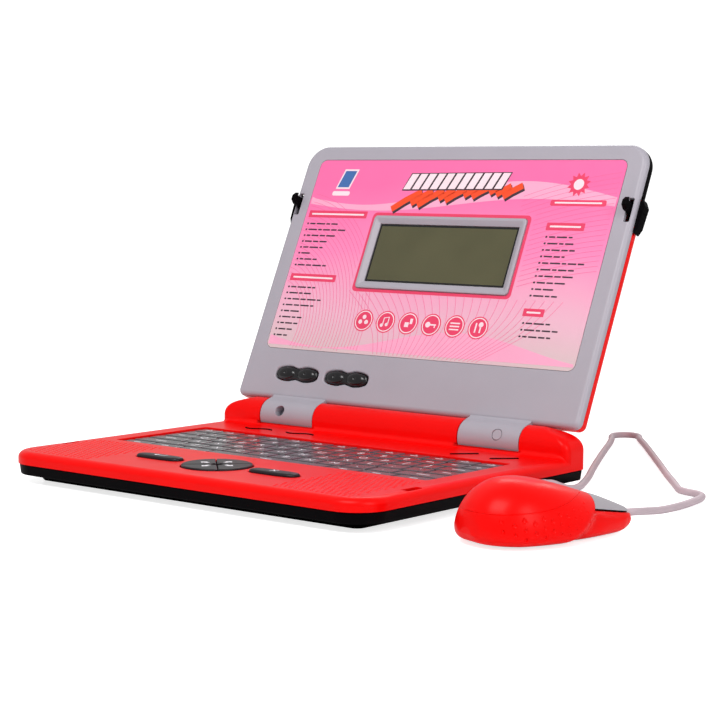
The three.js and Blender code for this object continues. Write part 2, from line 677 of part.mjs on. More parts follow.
// Where the buttons are: in front of a leaning line and above the nose's red cheeks.
function buttonZone(lift, back) {
  const { buttonFoot, buttonLean, cheekFall } = mouse;
  const front = 60;
  const high = 50;
  return extrudeShape([
    [buttonFoot.x + back, buttonFoot.z + lift],
    [front, buttonFoot.z + lift - cheekFall * (front - buttonFoot.x)],
    [front, high],
    [buttonFoot.x + back + buttonLean * (high - buttonFoot.z - lift), high],
  ], 80).rotate([90, 0, 0]).translate([0, 40, 0]);
}

const grommetHole = (extra) => moved(rod('x', 40, 60, 3 + extra, 16), 0, 0, 8);

function mouseTopShell() {
  const shell = cut(mouseBody, mouseCavity, box(-60, 60, -40, 40, -1, mouse.floorTop + gap));
  return cut(shell, buttonZone(0, 0), grommetHole(0));
}

function mouseBottomShell() {
  const plate = mouseBody.intersect(box(-60, 60, -40, 40, -1, mouse.floorTop));
  const pocket = mouseCavity.intersect(box(-44, 44, -40, 40, mouse.wall, 20));
  const lensWindow = roundedBlock(-8, 8, -6, 6, 3, -1, 6);
  const post = moved(rod('z', 1, mouse.floorTop, 3.6, 14), -34, 0, 0);
  const screwHead = moved(rod('z', -1, 1.9, 2.8, 14), -34, 0, 0);
  const screwHole = moved(rod('z', -1, 6, 1.5, 10), -34, 0, 0);
  return cut(union(cut(plate, pocket), post), lensWindow, screwHead, screwHole);
}

// One half of the nose top, a thin skin with its own closed edge.
function mouseButton(side) {
  const skin = cut(mouseBody, mouseCavity);
  const half = side > 0 ? box(-60, 60, 0.25, 40, 0, 60) : box(-60, 60, -40, -0.25, 0, 60);
  const pressRoom = 0.9;
  const zone = buttonZone(pressRoom, 0.45 + mouse.buttonLean * pressRoom);
  return cut(skin.intersect(zone).intersect(half), grommetHole(pressRoom));
}

addPiece(mouseGroup, 'mouse_top_shell', mouseTopShell(), material.red);
addPiece(mouseGroup, 'mouse_bottom_shell', mouseBottomShell(), material.red);
addPiece(mouseGroup, 'mouse_left_button', mouseButton(1), material.grey);
addPiece(mouseGroup, 'mouse_right_button', mouseButton(-1), material.grey);
addPiece(mouseGroup, 'mouse_circuit_board', box(-28, 34, -9, 9, 6, 7.6), material.board);
addPiece(mouseGroup, 'mouse_lens', roundedBlock(-7.6, 7.6, -5.6, 5.6, 2.6, 0.8, 5.6, 3), material.clear);
addPiece(mouseGroup, 'mouse_screw', moved(panScrew(5), -34, 0, 0.2), material.steel);
addPiece(mouseGroup, 'mouse_cord_grommet', moved(rod('x', 44, 50.4, 2.7, 16), 0, 0, 8), material.black);

// ---------------------------------------------------------------- cord and plug

// The cord's centre line: out of the plug, down to the table, round the laptop's back corner,
// out to a far bend, back to a fold beside the laptop, and up into the mouse's nose.
const lie = cordDiameter / 2 + 0.05;
const cordRoute = [
  [140.6, 52.3, 9], [140.9, 58, 8.3], [141.2, 64, 6.4], [141.2, 71, 4.3], [140.3, 79.5, 2.7],
  [137.8, 91, lie], [132.6, 103.5, lie], [122.5, 125, lie], [109.4, 150, lie], [90, 188, lie],
  [71.5, 225, lie], [54.3, 260, lie], [45, 277.5, lie], [37.9, 289.4, lie], [36.1, 296, lie],
  [38.6, 302, lie], [44.8, 305, lie], [51.6, 301.8, lie], [58.5, 291.8, lie], [77.5, 267, lie],
  [102, 234, lie], [130, 196, lie], [156, 160.5, lie], [172, 139.5, lie], [180.5, 128, lie],
  [186.5, 120.5, lie], [193.5, 116.3, lie], [201, 114, lie], [207, 109, lie], [210, 102, lie],
  [212, 92, lie], [213.2, 82, lie], [214, 72, 2.2], [215, 62, 2.6], [216.2, 51, 3.2],
  [217.7, 40, 4.3], [219.3, 28, 5.8], [220.8, 18, 7.1], [221.1, 11.5, 7.9], [219.44, 4.94, 8],
];

function rightAnglePlug() {
  const { y, z } = jack;
  const pin = rod('x', 124, wallX + 1, 1.5, 12).translate([0, y, z]);
  const head = roundedBlock(wallX + 0.4, 144.2, y - 4.2, y + 5.2, 1.6, z - 3.6, z + 3.6, 3);
  const tail = rod('y', y + 4.2, y + 15, 3, 14, 2.3).translate([cordRoute[0][0], 0, z]);
  return union(pin, head, tail);
}
addPiece(toy, 'mouse_plug', rightAnglePlug(), material.cord);

function cordTube() {
  const places = cordRoute.map((place) => new THREE.Vector3(...place));
  const path = new THREE.CatmullRomCurve3(places, false, 'centripetal');
  const sides = 8;
  const section = new THREE.Shape(Array.from({ length: sides }, (_, i) => {
    const angle = (2 * Math.PI * i) / sides;
    return new THREE.Vector2(Math.cos(angle), Math.sin(angle)).multiplyScalar(cordDiameter / 2);
  }));
  return solid(new THREE.ExtrudeGeometry(section, { steps: 66, bevelEnabled: false, extrudePath: path }));
}
addPiece(toy, 'mouse_cord', cordTube(), material.cord);

export default toy;
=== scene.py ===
"""Looks for a toy laptop computer with a corded mouse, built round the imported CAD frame.

Shapes are worked out in millimetres in their own frame (the base's, the lid's or the mouse's)
and published in metres. The lid's frame has x along the hinge, y from the hinge to the lid's
free edge and z out of its screen side. The mouse's frame has x towards its nose.
"""

import json
import math

import bmesh
import bpy
import numpy as np
from mathutils import Matrix, Vector


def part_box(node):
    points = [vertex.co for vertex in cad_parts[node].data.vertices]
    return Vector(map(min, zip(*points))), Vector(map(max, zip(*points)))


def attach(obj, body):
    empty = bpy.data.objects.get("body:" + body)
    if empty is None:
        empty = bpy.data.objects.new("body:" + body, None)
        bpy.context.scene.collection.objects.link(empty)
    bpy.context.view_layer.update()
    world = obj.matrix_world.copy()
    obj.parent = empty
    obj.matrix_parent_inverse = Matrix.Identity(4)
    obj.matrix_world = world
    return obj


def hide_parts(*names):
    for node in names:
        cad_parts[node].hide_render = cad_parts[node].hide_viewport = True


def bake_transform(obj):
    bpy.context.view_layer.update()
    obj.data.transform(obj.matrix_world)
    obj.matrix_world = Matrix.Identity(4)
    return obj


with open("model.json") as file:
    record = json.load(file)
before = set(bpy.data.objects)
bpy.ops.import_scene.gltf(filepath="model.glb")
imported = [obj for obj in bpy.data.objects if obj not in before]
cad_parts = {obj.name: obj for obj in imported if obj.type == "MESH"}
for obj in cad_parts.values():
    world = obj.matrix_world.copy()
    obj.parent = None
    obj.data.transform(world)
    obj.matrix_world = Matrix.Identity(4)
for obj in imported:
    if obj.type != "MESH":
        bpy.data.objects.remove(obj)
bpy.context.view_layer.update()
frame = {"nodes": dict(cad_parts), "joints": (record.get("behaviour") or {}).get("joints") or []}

MM = 0.001
SIDES = (-1, 1)
scene = bpy.context.scene

# ------------------------------------------------------------------ sizes taken from the frame


def box_mm(node):
    low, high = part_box(node)
    return low / MM, high / MM


def moved(x=0, y=0, z=0):
    return Matrix.Translation((x, y, z))


def spun(angle, axis):
    return Matrix.Rotation(angle, 4, axis)


joints = {joint["name"]: joint for joint in frame["joints"]}
hinge_joint = joints["lid_hinge"]
hinge_at = Vector(hinge_joint["pos_m"]) / MM
open_angle = hinge_joint["range_deg"][1]
lid_frame = moved(*hinge_at) @ spun(math.radians(180 - open_angle), "X")

mouse_heading = Vector(joints["mouse_glide"]["axis"])
lens_low, lens_high = box_mm("mouse_lens")
lens_middle = (lens_low + lens_high) / 2
mouse_frame = moved(lens_middle.x, lens_middle.y) @ spun(
    math.atan2(mouse_heading.y, mouse_heading.x), "Z")

shell_high = box_mm("base_top_shell")[1]
HALF_WIDTH, HALF_DEPTH, RIDGE_TOP = shell_high
SPLIT = box_mm("base_bottom_shell")[1].z      # where the black bottom ends
GAP = 0.3                                     # clearance between neighbouring pieces
HINGE_Y, HINGE_Z = hinge_at.y, hinge_at.z
BARREL = RIDGE_TOP - HINGE_Z                  # radius of the hinge barrel

DECK = 18.1
DECK_EDGE = (5.0, 4.1)                        # how far in and down the deck's edge is rounded
WALL = 2.0
FRONT_RADIUS, BACK_RADIUS = 20.0, 5.0
POCKET = BARREL + 0.5                         # radius of the bays that the knuckles turn in
KNUCKLE = (57.0, 101.0)                       # along x
PIN_BORE = 2.3
WELL_X, WELL_RADIUS = 85.0, 3.6
REST_INSET, BAND_Z = 15.0, 4.5                # the plate that it rests on; where the side starts
PLINTH_INSET, PLINTH_Z = 12.2, 3.7            # the step above that plate
CASE_SCREWS = [(-112, -80), (112, -80), (-114, 79), (114, 79)]
DOOR = {"half": 54.0, "front": 74.0, "back": 87.0, "tongue": 66.0, "tongue_half": 5.0, "screw_y": 70.3}

LID_HALF, LID_BOTTOM, LID_TOP = 133.6, 10.7, 192.5
LID_FACE, LID_SPLIT, LID_BACK = 2.3, -1.7, -9.7
LID_TOP_RADIUS, LID_BOTTOM_RADIUS = 15.0, 4.5
LID_SCREWS = [(-118, 24), (118, 24), (-112, 170), (112, 170)]
PANEL = {"half": 120.8, "bottom": 44.8, "top": 181.7, "radius": 5.0, "depth": 0.9}
PANEL_TOP = LID_FACE - 0.2
SCREEN = {"half": 54.8, "bottom": 95.4, "top": 136.1, "frame": 5.2, "raise": 1.0}
ROCKER = {"y": 28.0, "places": (-87.0, -45.7), "half_length": 17.2, "half_width": 4.8, "lobe": 8.4}
LATCH_X, LATCH_Y = 129.6, 149.5
BAND_START, BAND_WIDTH = 158.5, 3.0

KEYS = {"half": 118.5, "front": -29.0, "back": 50.0, "top": 17.1, "gap": 1.1}
OVAL = {"x": 43.5, "y": -66.0, "half_length": 16.6, "half_width": 5.0}
ARROWS = {"y": -65.0, "radius": 20.0}
JACK = {"y": 37.0, "z": 9.0, "radius": 3.6}
MOUSE_SCREW = (-34, 0)

# ------------------------------------------------------------------ camera


def place_camera():
    azimuth, elevation, roll = (math.radians(a) for a in (39.04, 5.40, 0.44))
    target = Vector((0.0489, 0, 0.0756))
    distance = 1.0626
    back = Vector((
        math.sin(azimuth) * math.cos(elevation),
        -math.cos(azimuth) * math.cos(elevation),
        math.sin(elevation)))
    right = Vector((0, 0, 1)).cross(back).normalized()
    up = back.cross(right)
    turned_right = math.cos(roll) * right + math.sin(roll) * up
    turned_up = back.cross(turned_right)
    camera = bpy.data.objects.new("camera", bpy.data.cameras.new("camera"))
    camera.data.sensor_width = 36
    camera.data.lens = 94.45
    camera.data.clip_start = 0.05
    rotation = Matrix((turned_right, turned_up, back)).transposed().to_4x4()
    camera.matrix_world = moved(*(target + back * distance)) @ rotation
    scene.collection.objects.link(camera)
    scene.camera = camera


place_camera()
scene.view_settings.view_transform = "Standard"      # saturated plastics keep their hue

# ------------------------------------------------------------------ mesh tools


def new_object(name, bm):
    mesh = bpy.data.meshes.new(name)
    bm.to_mesh(mesh)
    bm.free()
    obj = bpy.data.objects.new(name, mesh)
    scene.collection.objects.link(obj)
    return obj


def discard(obj):
    mesh = obj.data
    bpy.data.objects.remove(obj)
    bpy.data.meshes.remove(mesh)


def add_loft(bm, rings):
    """Closed skin through rings of equal length that run anticlockwise seen from the last one."""
    rows = [[bm.verts.new(point) for point in ring] for ring in rings]
    count = len(rows[0])
    for low, high in zip(rows, rows[1:]):
        for i in range(count):
            j = (i + 1) % count
            bm.faces.new((low[i], low[j], high[j], high[i]))
    bm.faces.new(list(reversed(rows[0])))
    bm.faces.new(rows[-1])


def lofts(skins):
    """One object of several closed skins."""
    bm = bmesh.new()
    for rings in skins:
        add_loft(bm, rings)
    return new_object("shape", bm)


def loft(rings):
    return lofts([rings])


def at_height(outline, z):
    return [(x, y, z) for x, y in outline]


def stack(outline_at, levels):
    """Loft of an outline over pairs of its inset (or growth) and a height."""
    return loft([at_height(outline_at(inset), z) for inset, z in levels])


def prisms(outlines, z0, z1):
    return lofts([[at_height(outline, z0), at_height(outline, z1)] for outline in outlines])


def prism(outline, z0, z1):
    return prisms([outline], z0, z1)


def box_outline(x0, x1, y0, y1):
    return [(x0, y0), (x1, y0), (x1, y1), (x0, y1)]


def block(x0, x1, y0, y1, z0, z1):
    return prism(box_outline(x0, x1, y0, y1), z0, z1)


def across(side, near, far):
    """The two ends of a stretch on one side of x 0, the lower one first."""
    return sorted((side * near, side * far))


def section_prism(section, x0, x1):
    """Solid along x with a section given in y and z."""
    return loft([[(x, y, z) for y, z in section] for x in (x0, x1)])


def circle(radius, sides=48, centre=(0, 0)):
    turn = 2 * math.pi / sides
    return [(centre[0] + radius * math.cos(i * turn), centre[1] + radius * math.sin(i * turn))
            for i in range(sides)]


def superellipse(half_length, half_width, power_x, power_y, sides, waist=lambda x: 1):
    """A long round outline that is squarer the lower its powers are."""
    outline = []
    for i in range(sides):
        angle = 2 * math.pi * i / sides
        cos, sin = math.cos(angle), math.sin(angle)
        x = half_length * math.copysign(abs(cos) ** power_x, cos)
        outline.append((x, half_width * waist(x) * math.copysign(abs(sin) ** power_y, sin)))
    return outline


def shifted(outline, x, y):
    return [(x + a, y + b) for a, b in outline]


def turned(rings_rz, sides=48, centre=(0, 0)):
    """Solid of revolution about a vertical axis, from pairs of radius and height."""
    return loft([at_height(circle(radius, sides, centre), z) for radius, z in rings_rz])


def turned_at(places, rings_rz, sides):
    return [turned(rings_rz, sides, place) for place in places]


def along_x(obj, x=0.0, y=0.0, z=0.0):
    """Turns a solid that stands on z so that it runs along x, then moves it."""
    obj.data.transform(moved(x, y, z) @ spun(math.pi / 2, "Y"))
    return obj


def rod(x0, x1, radius, sides, y=0, z=0):
    return along_x(turned([(radius, x0), (radius, x1)], sides), 0, y, z)


def barrel(x0, x1, radius, sides=64):
    return rod(x0, x1, radius, sides, HINGE_Y, HINGE_Z)


def rounded_box(x0, x1, y0, y1, low_radius, high_radius=None, steps=8):
    high_radius = low_radius if high_radius is None else high_radius
    corners = [
        (x1 - low_radius, y0 + low_radius, low_radius, -90),
        (x1 - high_radius, y1 - high_radius, high_radius, 0),
        (x0 + high_radius, y1 - high_radius, high_radius, 90),
        (x0 + low_radius, y0 + low_radius, low_radius, 180),
    ]
    outline = []
    for cx, cy, radius, start in corners:
        for i in range(steps + 1):
            angle = math.radians(start + 90 * i / steps)
            outline.append((cx + radius * math.cos(angle), cy + radius * math.sin(angle)))
    return outline


def grown_box(half, low, high, extra, low_radius, high_radius=None, steps=8):
    """A rounded box from -half to half in x and from low to high in y, grown by extra all round."""
    return rounded_box(
        -half - extra, half + extra, low - extra, high + extra, low_radius, high_radius, steps)


def bar(x, y, half_x, half_y, radius, steps=8):
    """A rounded box about its middle."""
    return rounded_box(x - half_x, x + half_x, y - half_y, y + half_y, radius, steps=steps)


def settle(obj):
    """Turns an object's modifiers into its mesh."""
    graph = bpy.context.evaluated_depsgraph_get()
    mesh = bpy.data.meshes.new_from_object(obj.evaluated_get(graph))
    old = obj.data
    obj.modifiers.clear()
    obj.data = mesh
    bpy.data.meshes.remove(old)
    return obj


def combine(obj, operation, tools):
    for tool in tools:
        modifier = obj.modifiers.new("combine", "BOOLEAN")
        modifier.operation = operation
        modifier.solver = "MANIFOLD"
        modifier.object = tool
    settle(obj)
    for tool in tools:
        discard(tool)
    return obj


def cut(obj, *tools):
    return combine(obj, "DIFFERENCE", tools)


def unite(obj, *tools):
    return combine(obj, "UNION", tools)


def keep_inside(obj, *tools):
    return combine(obj, "INTERSECT", tools)


def copy_of(obj, mirror=False):
    """A copy, or its mirror image in x."""
    twin = obj.copy()
    twin.data = obj.data.copy()
    scene.collection.objects.link(twin)
    if mirror:
        twin.data.transform(Matrix.Diagonal((-1, 1, 1, 1)))
        twin.data.flip_normals()
    return twin


def flared(outline_at, bottom, top, radius, steps=3):
    """Cutter for a hole whose upper edge is rounded: outline_at(extra) is the hole grown by extra."""
    levels = [(0, bottom)]
    for i in range(steps + 1):
        angle = math.pi / 2 * i / steps
        levels.append((radius * (1 - math.cos(angle)) + 1e-4 * i,
                       top - radius + radius * math.sin(angle)))
    return stack(outline_at, levels + [(radius + 1e-3, top + 6)])


def quarter_round(inset, drop, steps=8):
    """Pairs of inset and drop along a rounded edge, from the wall up to the face."""
    return [(inset * (1 - math.cos(math.pi / 2 * i / steps)),
             drop * (1 - math.sin(math.pi / 2 * i / steps))) for i in range(steps + 1)]


def softened(obj, width):
    """Rounds every sharp edge of a small part."""
    bevel = obj.modifiers.new("soften", "BEVEL")
    bevel.width = width
    bevel.segments = 3
    bevel.limit_method = "ANGLE"
    bevel.angle_limit = math.radians(25)
    bevel.use_clamp_overlap = True
    return settle(obj)


# ------------------------------------------------------------------ materials


def linear(red, green, blue):
    """A colour given as 0 to 255 screen values, for a shader."""
    def channel(value):
        value /= 255
        return value / 12.92 if value <= 0.04045 else ((value + 0.055) / 1.055) ** 2.4
    return (channel(red), channel(green), channel(blue), 1)


def scaled(colour, factor):
    return tuple(min(channel * factor, 1) for channel in colour[:3]) + (1,)


class Look:
    """A material under construction."""

    def __init__(self, name, slot=None):
        self.material = bpy.data.materials.new(name)
        self.material.use_nodes = True
        self.tree = self.material.node_tree
        self.shader = self.tree.nodes["Principled BSDF"]
        self.coords = self.add("ShaderNodeTexCoord").outputs["Object"]

    def fill(self, node, values):
        """Sets a node's inputs, or links those whose value is another node's output."""
        for key, value in values.items():
            if isinstance(value, bpy.types.NodeSocket):
                self.tree.links.new(value, node.inputs[key])
            else:
                node.inputs[key].default_value = value

    def add(self, kind, values=None, **settings):
        node = self.tree.nodes.new(kind)
        for key, value in settings.items():
            setattr(node, key, value)
        self.fill(node, values or {})
        return node

    def noise(self, scale, detail=3.0, roughness=0.5, vector=None):
        return self.add("ShaderNodeTexNoise", {
            "Scale": scale, "Detail": detail, "Roughness": roughness,
            "Vector": self.coords if vector is None else vector}).outputs["Fac"]

    def spread(self, source, low, high, start=0.3, end=0.7):
        return self.add("ShaderNodeMapRange", {
            "Value": source, "From Min": start, "From Max": end,
            "To Min": low, "To Max": high}).outputs["Result"]

    def blend(self, factor, first, second):
        node = self.add("ShaderNodeMix", {"Factor": factor}, data_type="RGBA")
        a, b = [key for key, socket in enumerate(node.inputs) if socket.type == "RGBA"]
        self.fill(node, {a: first, b: second})
        return [socket for socket in node.outputs if socket.type == "RGBA"][0]

    def bump(self, height, depth):
        """Bumps of a depth in millimetres."""
        return self.add("ShaderNodeBump", {
            "Strength": 1.0, "Distance": depth * MM, "Height": height}).outputs["Normal"]

    def finish(self, values):
        self.fill(self.shader, values)
        return self.material


def plastic(name, slot, rgb, roughness, grain=1500, depth=0.02, clouds=0.04, coat=0.0, specular=0.5):
    """Moulded plastic: faint clouds in the colour, uneven gloss, and a fine moulded grain."""
    look = Look(name, slot)
    colour = linear(*rgb)
    cloud = look.spread(look.noise(38, 4), 0, 1)
    return look.finish({
        "Base Color": look.blend(cloud, scaled(colour, 1 - clouds), scaled(colour, 1 + clouds)),
        "Roughness": look.spread(look.noise(45, 1, 0.4), roughness * 0.94, roughness * 1.06),
        "Normal": look.bump(look.noise(grain, 2), depth),
        "Specular IOR Level": specular,
        "Coat Weight": coat,
        "Coat Roughness": 0.12,
    })


def ink(name, *rgb):
    return plastic(name, "artwork", rgb, 0.36, grain=2200, depth=0.004, clouds=0.03)


def steel_look():
    """Plated steel with fine drawn marks."""
    look = Look("plated_steel", "steel")
    stretch = look.add("ShaderNodeMapping", {"Scale": (1, 1, 18), "Vector": look.coords})
    marks = look.noise(400, 2, vector=stretch.outputs["Vector"])
    colour = linear(196, 198, 204)
    return look.finish({
        "Base Color": look.blend(look.spread(marks, 0, 1), scaled(colour, 0.86), scaled(colour, 1.08)),
        "Roughness": look.spread(marks, 0.24, 0.39),
        "Normal": look.bump(marks, 0.02),
        "Metallic": 1,
    })


def circuit_board_look():
    """Green solder mask with copper tracks that show through as paler lines."""
    look = Look("circuit_board")
    bricks = look.add("ShaderNodeTexBrick", {
        "Scale": 160, "Mortar Size": 0.06, "Vector": look.coords,
        "Color1": linear(24, 96, 52), "Color2": linear(20, 84, 46), "Mortar": linear(66, 140, 84)})
    return look.finish({
        "Base Color": bricks.outputs["Color"],
        "Roughness": look.spread(look.noise(200), 0.25, 0.45),
        "Normal": look.bump(bricks.outputs["Fac"], 0.04),
    })


def battery_look():
    """Printed sleeve: a copper-coloured end and a dark body, split across x."""
    look = Look("battery_cell")
    split = look.add("ShaderNodeSeparateXYZ", {"Vector": look.coords})
    wave = look.add("ShaderNodeMath", {0: split.outputs["X"], 1: 0.026}, operation="PINGPONG")
    band = look.add("ShaderNodeMath", {0: wave.outputs[0], 1: 0.013}, operation="GREATER_THAN")
    return look.finish({
        "Base Color": look.blend(band.outputs[0], linear(40, 38, 44), linear(196, 138, 60)),
        "Roughness": look.spread(look.noise(300), 0.22, 0.36),
        "Normal": look.bump(look.noise(900), 0.01),
        "Metallic": 0.6,
    })


def artwork_look():
    """Printed film: strong pink at the top fading to a pale warm pink, with soft clouds."""
    look = Look("artwork_film", "artwork")
    up_lid = lid_frame.to_3x3() @ Vector((0, 1, 0))
    along = look.add("ShaderNodeVectorMath", {0: look.coords, 1: up_lid}, operation="DOT_PRODUCT")
    start, end = ((lid_frame @ Vector((0, PANEL[key], 0))).dot(up_lid) * MM
                  for key in ("bottom", "top"))
    share = look.spread(along.outputs["Value"], 0, 1, start, end)
    cloud = look.add("ShaderNodeMath", {0: look.noise(14, 3), 1: 0.22, 2: share},
                     operation="MULTIPLY_ADD")
    ramp = look.add("ShaderNodeValToRGB", {"Fac": cloud.outputs[0]})
    stops = [(0.08, (218, 198, 198)), (0.30, (240, 186, 206)), (0.62, (255, 140, 190)),
             (1.0, (255, 112, 172))]
    elements = ramp.color_ramp.elements
    while len(elements) < len(stops):
        elements.new(0.5)
    for element, (place, colour) in zip(elements, stops):
        element.position = place
        element.color = linear(*colour)
    return look.finish({
        "Base Color": ramp.outputs["Color"],
        "Roughness": look.spread(look.noise(90), 0.28, 0.4),
        "Normal": look.bump(look.noise(2200), 0.01),
    })


def display_look():
    """Liquid-crystal cell: olive grey with a fine dot grid and an uneven tint."""
    look = Look("lcd_glass", "display")
    tint = look.spread(look.noise(16, 2), 0, 1)
    checker = look.add("ShaderNodeTexChecker", {"Scale": 1600, "Vector": look.coords})
    return look.finish({
        "Base Color": look.blend(tint, linear(76, 75, 50), linear(90, 88, 61)),
        "Roughness": look.spread(look.noise(60), 0.10, 0.17),
        "Normal": look.bump(checker.outputs["Fac"], 0.004),
    })


def lens_look():
    look = Look("clear_lens")
    return look.finish({
        "Base Color": look.blend(look.noise(50), linear(205, 214, 220), linear(235, 240, 244)),
        "Roughness": look.spread(look.noise(150), 0.03, 0.08),
        "Transmission Weight": 0.8,
    })


RED = plastic("red_plastic", "red_plastic", (246, 3, 2), 0.3, 1600, 0.002, clouds=0.02, specular=0.12)
BLACK = plastic("black_plastic", "black_plastic", (5, 3, 5), 0.42, 1200, specular=0.03)
BLACK_GLOSS = plastic("black_gloss", "black_plastic", (14, 12, 16), 0.16, 600, 0.008)
GREY = plastic("grey_plastic", "grey_plastic", (172, 167, 177), 0.42, 2600, 0.03, clouds=0.02)
MOUSE_GREY = plastic("mouse_grey", "grey_plastic", (168, 162, 168), 0.3, 1400, 0.01)
KEY = plastic("key_silicone", "key_rubber", (42, 36, 43), 0.27, 1800, 0.03, clouds=0.06,
              coat=0.35, specular=1.0)
BUTTON = plastic("button_silicone", "button_rubber", (24, 14, 20), 0.34, 1600, specular=0.35)
CORD = plastic("cord_vinyl", "cord_sheath", (196, 176, 184), 0.44, 700)
LEGEND = plastic("legend_ink", "key_rubber", (240, 236, 242), 0.5, 2000, 0.005)
STEEL = steel_look()
BOARD = circuit_board_look()
CELL = battery_look()
FILM = artwork_look()
DISPLAY = display_look()
LENS = lens_look()

CRIMSON = ink("ink_crimson", 236, 62, 104)
PALE = ink("ink_pale", 252, 226, 234)
DARK = ink("ink_dark", 58, 40, 52)
ROSE = ink("ink_rose", 244, 104, 158)
ORANGE = ink("ink_orange", 250, 74, 24)
BLUE = ink("ink_blue", 62, 108, 172)
WAVE = ink("ink_wave", 252, 172, 204)

# ------------------------------------------------------------------ publishing


def publish(obj, name, body, material, *nodes, slot=None, matrix=None, sharp=32):
    """Names a finished shape, sets its shading and material, and joins it to the frame."""
    mesh = obj.data
    if matrix is not None:
        mesh.transform(matrix)
    mesh.transform(Matrix.Scale(MM, 4))
    obj.name = name
    mesh.name = name
    mesh.materials.clear()
    mesh.materials.append(material)
    mesh.polygons.foreach_set("use_smooth", [True] * len(mesh.polygons))
    mesh.set_sharp_from_angle(angle=math.radians(sharp))
    normals = obj.modifiers.new("normals", "WEIGHTED_NORMAL")
    normals.keep_sharp = True
    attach(obj, body)
    if nodes:
        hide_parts(*nodes)
    return obj


def dress(obj, node, body, material, **options):
    """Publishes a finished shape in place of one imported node."""
    return publish(obj, f"{node}_look", body, material, node, **options)


# ------------------------------------------------------------------ cord, plug and studio

CORD_DIAMETER = 4.2
LIE = CORD_DIAMETER / 2 + 0.05        # height of the centre line where the cord rests
CORD_ROUTE = [
    (140.6, 52.3, 9), (140.9, 58, 8.3), (141.2, 64, 6.4), (141.2, 71, 4.3), (140.3, 79.5, 2.7),
    (137.8, 91, LIE), (132.6, 103.5, LIE), (122.5, 125, LIE), (109.4, 150, LIE), (90, 188, LIE),
    (71.5, 225, LIE), (54.3, 260, LIE), (45, 277.5, LIE), (37.9, 289.4, LIE), (36.1, 296, LIE),
    (38.6, 302, LIE), (44.8, 305, LIE), (51.6, 301.8, LIE), (58.5, 291.8, LIE), (77.5, 267, LIE),
    (102, 234, LIE), (130, 196, LIE), (156, 160.5, LIE), (172, 139.5, LIE), (180.5, 128, LIE),
    (186.5, 120.5, LIE), (193.5, 116.3, LIE), (201, 114, LIE), (207, 109, LIE), (210, 102, LIE),
    (212, 92, LIE), (213.2, 82, LIE), (214, 72, 2.2), (215, 62, 2.6), (216.2, 51, 3.2),
    (217.7, 40, 4.3), (219.3, 28, 5.8), (220.8, 18, 7.1), (221.1, 11.5, 7.9), (219.44, 4.94, 8),
]


def curve_through(points, steps=12):
    """Centripetal Catmull-Rom curve through the points."""
    places = [Vector(point) for point in points]
    places = [2 * places[0] - places[1]] + places + [2 * places[-1] - places[-2]]
    line = []
    for p0, p1, p2, p3 in zip(places, places[1:], places[2:], places[3:]):
        d0, d1, d2 = (max((b - a).length, 1e-4) ** 0.5 for a, b in ((p0, p1), (p1, p2), (p2, p3)))
        leave = ((p1 - p0) / d0 - (p2 - p0) / (d0 + d1) + (p2 - p1) / d1) * d1
        arrive = ((p2 - p1) / d1 - (p3 - p1) / (d1 + d2) + (p3 - p2) / d2) * d1
        square = -3 * p1 + 3 * p2 - 2 * leave - arrive
        cube = 2 * p1 - 2 * p2 + leave + arrive
        for t in (i / steps for i in range(steps)):
            line.append(p1 + leave * t + square * t * t + cube * t ** 3)
    return line + [places[-2]]


def tube_rings(line, radius, sides=16):
    """Rings round a line, turned as little as possible from one to the next."""
    rings = []
    normal = None
    for i, point in enumerate(line):
        along = (line[min(i + 1, len(line) - 1)] - line[max(i - 1, 0)]).normalized()
        if normal is None:
            normal = along.orthogonal().normalized()
        normal = (normal - along * normal.dot(along)).normalized()
        side = along.cross(normal)
        rings.append([
            point + radius * (math.cos(a) * normal + math.sin(a) * side)
            for a in (2 * math.pi * k / sides for k in range(sides))])
    return rings


def make_plug():
    """Right-angled plug: rounded head, ribbed tail that lets the cord bend, and metal pin."""
    y, z = JACK["y"], JACK["z"]
    half_y, half_z, middle_y = 4.7, 3.6, y + 0.5
    head_outline = bar(middle_y, z, half_y, half_z, 1.9, steps=6)

    def ring(inset, x):
        grow_y, grow_z = (half_y - inset) / half_y, (half_z - inset) / half_z
        return [(x, middle_y + (a - middle_y) * grow_y, z + (b - z) * grow_z)
                for a, b in head_outline]

    head = loft([ring(inset, x) for inset, x in (
        (1.2, 135.4), (0.4, 135.7), (0, 136.3), (0, 143), (0.35, 143.8), (1.1, 144.2))])
    ribs = [(3.1, y + 4.2), (3.1, y + 5.8)]
    for i in range(5):
        start, wide = y + 6.1 + i * 1.8, 3.05 - 0.15 * i
        ribs += [(wide - 0.5, start), (wide, start + 0.25), (wide, start + 1.15), (wide - 0.5, start + 1.4)]
    tail = turned(ribs + [(2.25, y + 15.2)], 24)
    tail.data.transform(moved(CORD_ROUTE[0][0], 0, z) @ spun(-math.pi / 2, "X"))
    pin = along_x(turned([(1.1, 124), (1.5, 125), (1.5, 136)], 20), 0, y, z)
    return dress(unite(head, tail, pin), "mouse_plug", "base", CORD)


def make_cord(plug):
    line = [point * MM for point in curve_through(list(reversed(CORD_ROUTE)))]
    cord = loft(tube_rings(line, CORD_DIAMETER / 2 * MM))
    cord.name = "mouse_cord_look"
    cord.data.name = cord.name
    cord.data.materials.append(CORD)
    cord.data.polygons.foreach_set("use_smooth", [True] * len(cord.data.polygons))
    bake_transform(cord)
    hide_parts("mouse_cord")


def area_light(name, place, aim, size, power):
    lamp = bpy.data.lights.new(name, "AREA")
    lamp.shape = "RECTANGLE"
    lamp.size, lamp.size_y = size
    lamp.energy = power
    obj = bpy.data.objects.new(name, lamp)
    place = Vector(place)
    obj.matrix_world = moved(*place) @ (Vector(aim) - place).to_track_quat("-Z", "Y").to_matrix().to_4x4()
    scene.collection.objects.link(obj)


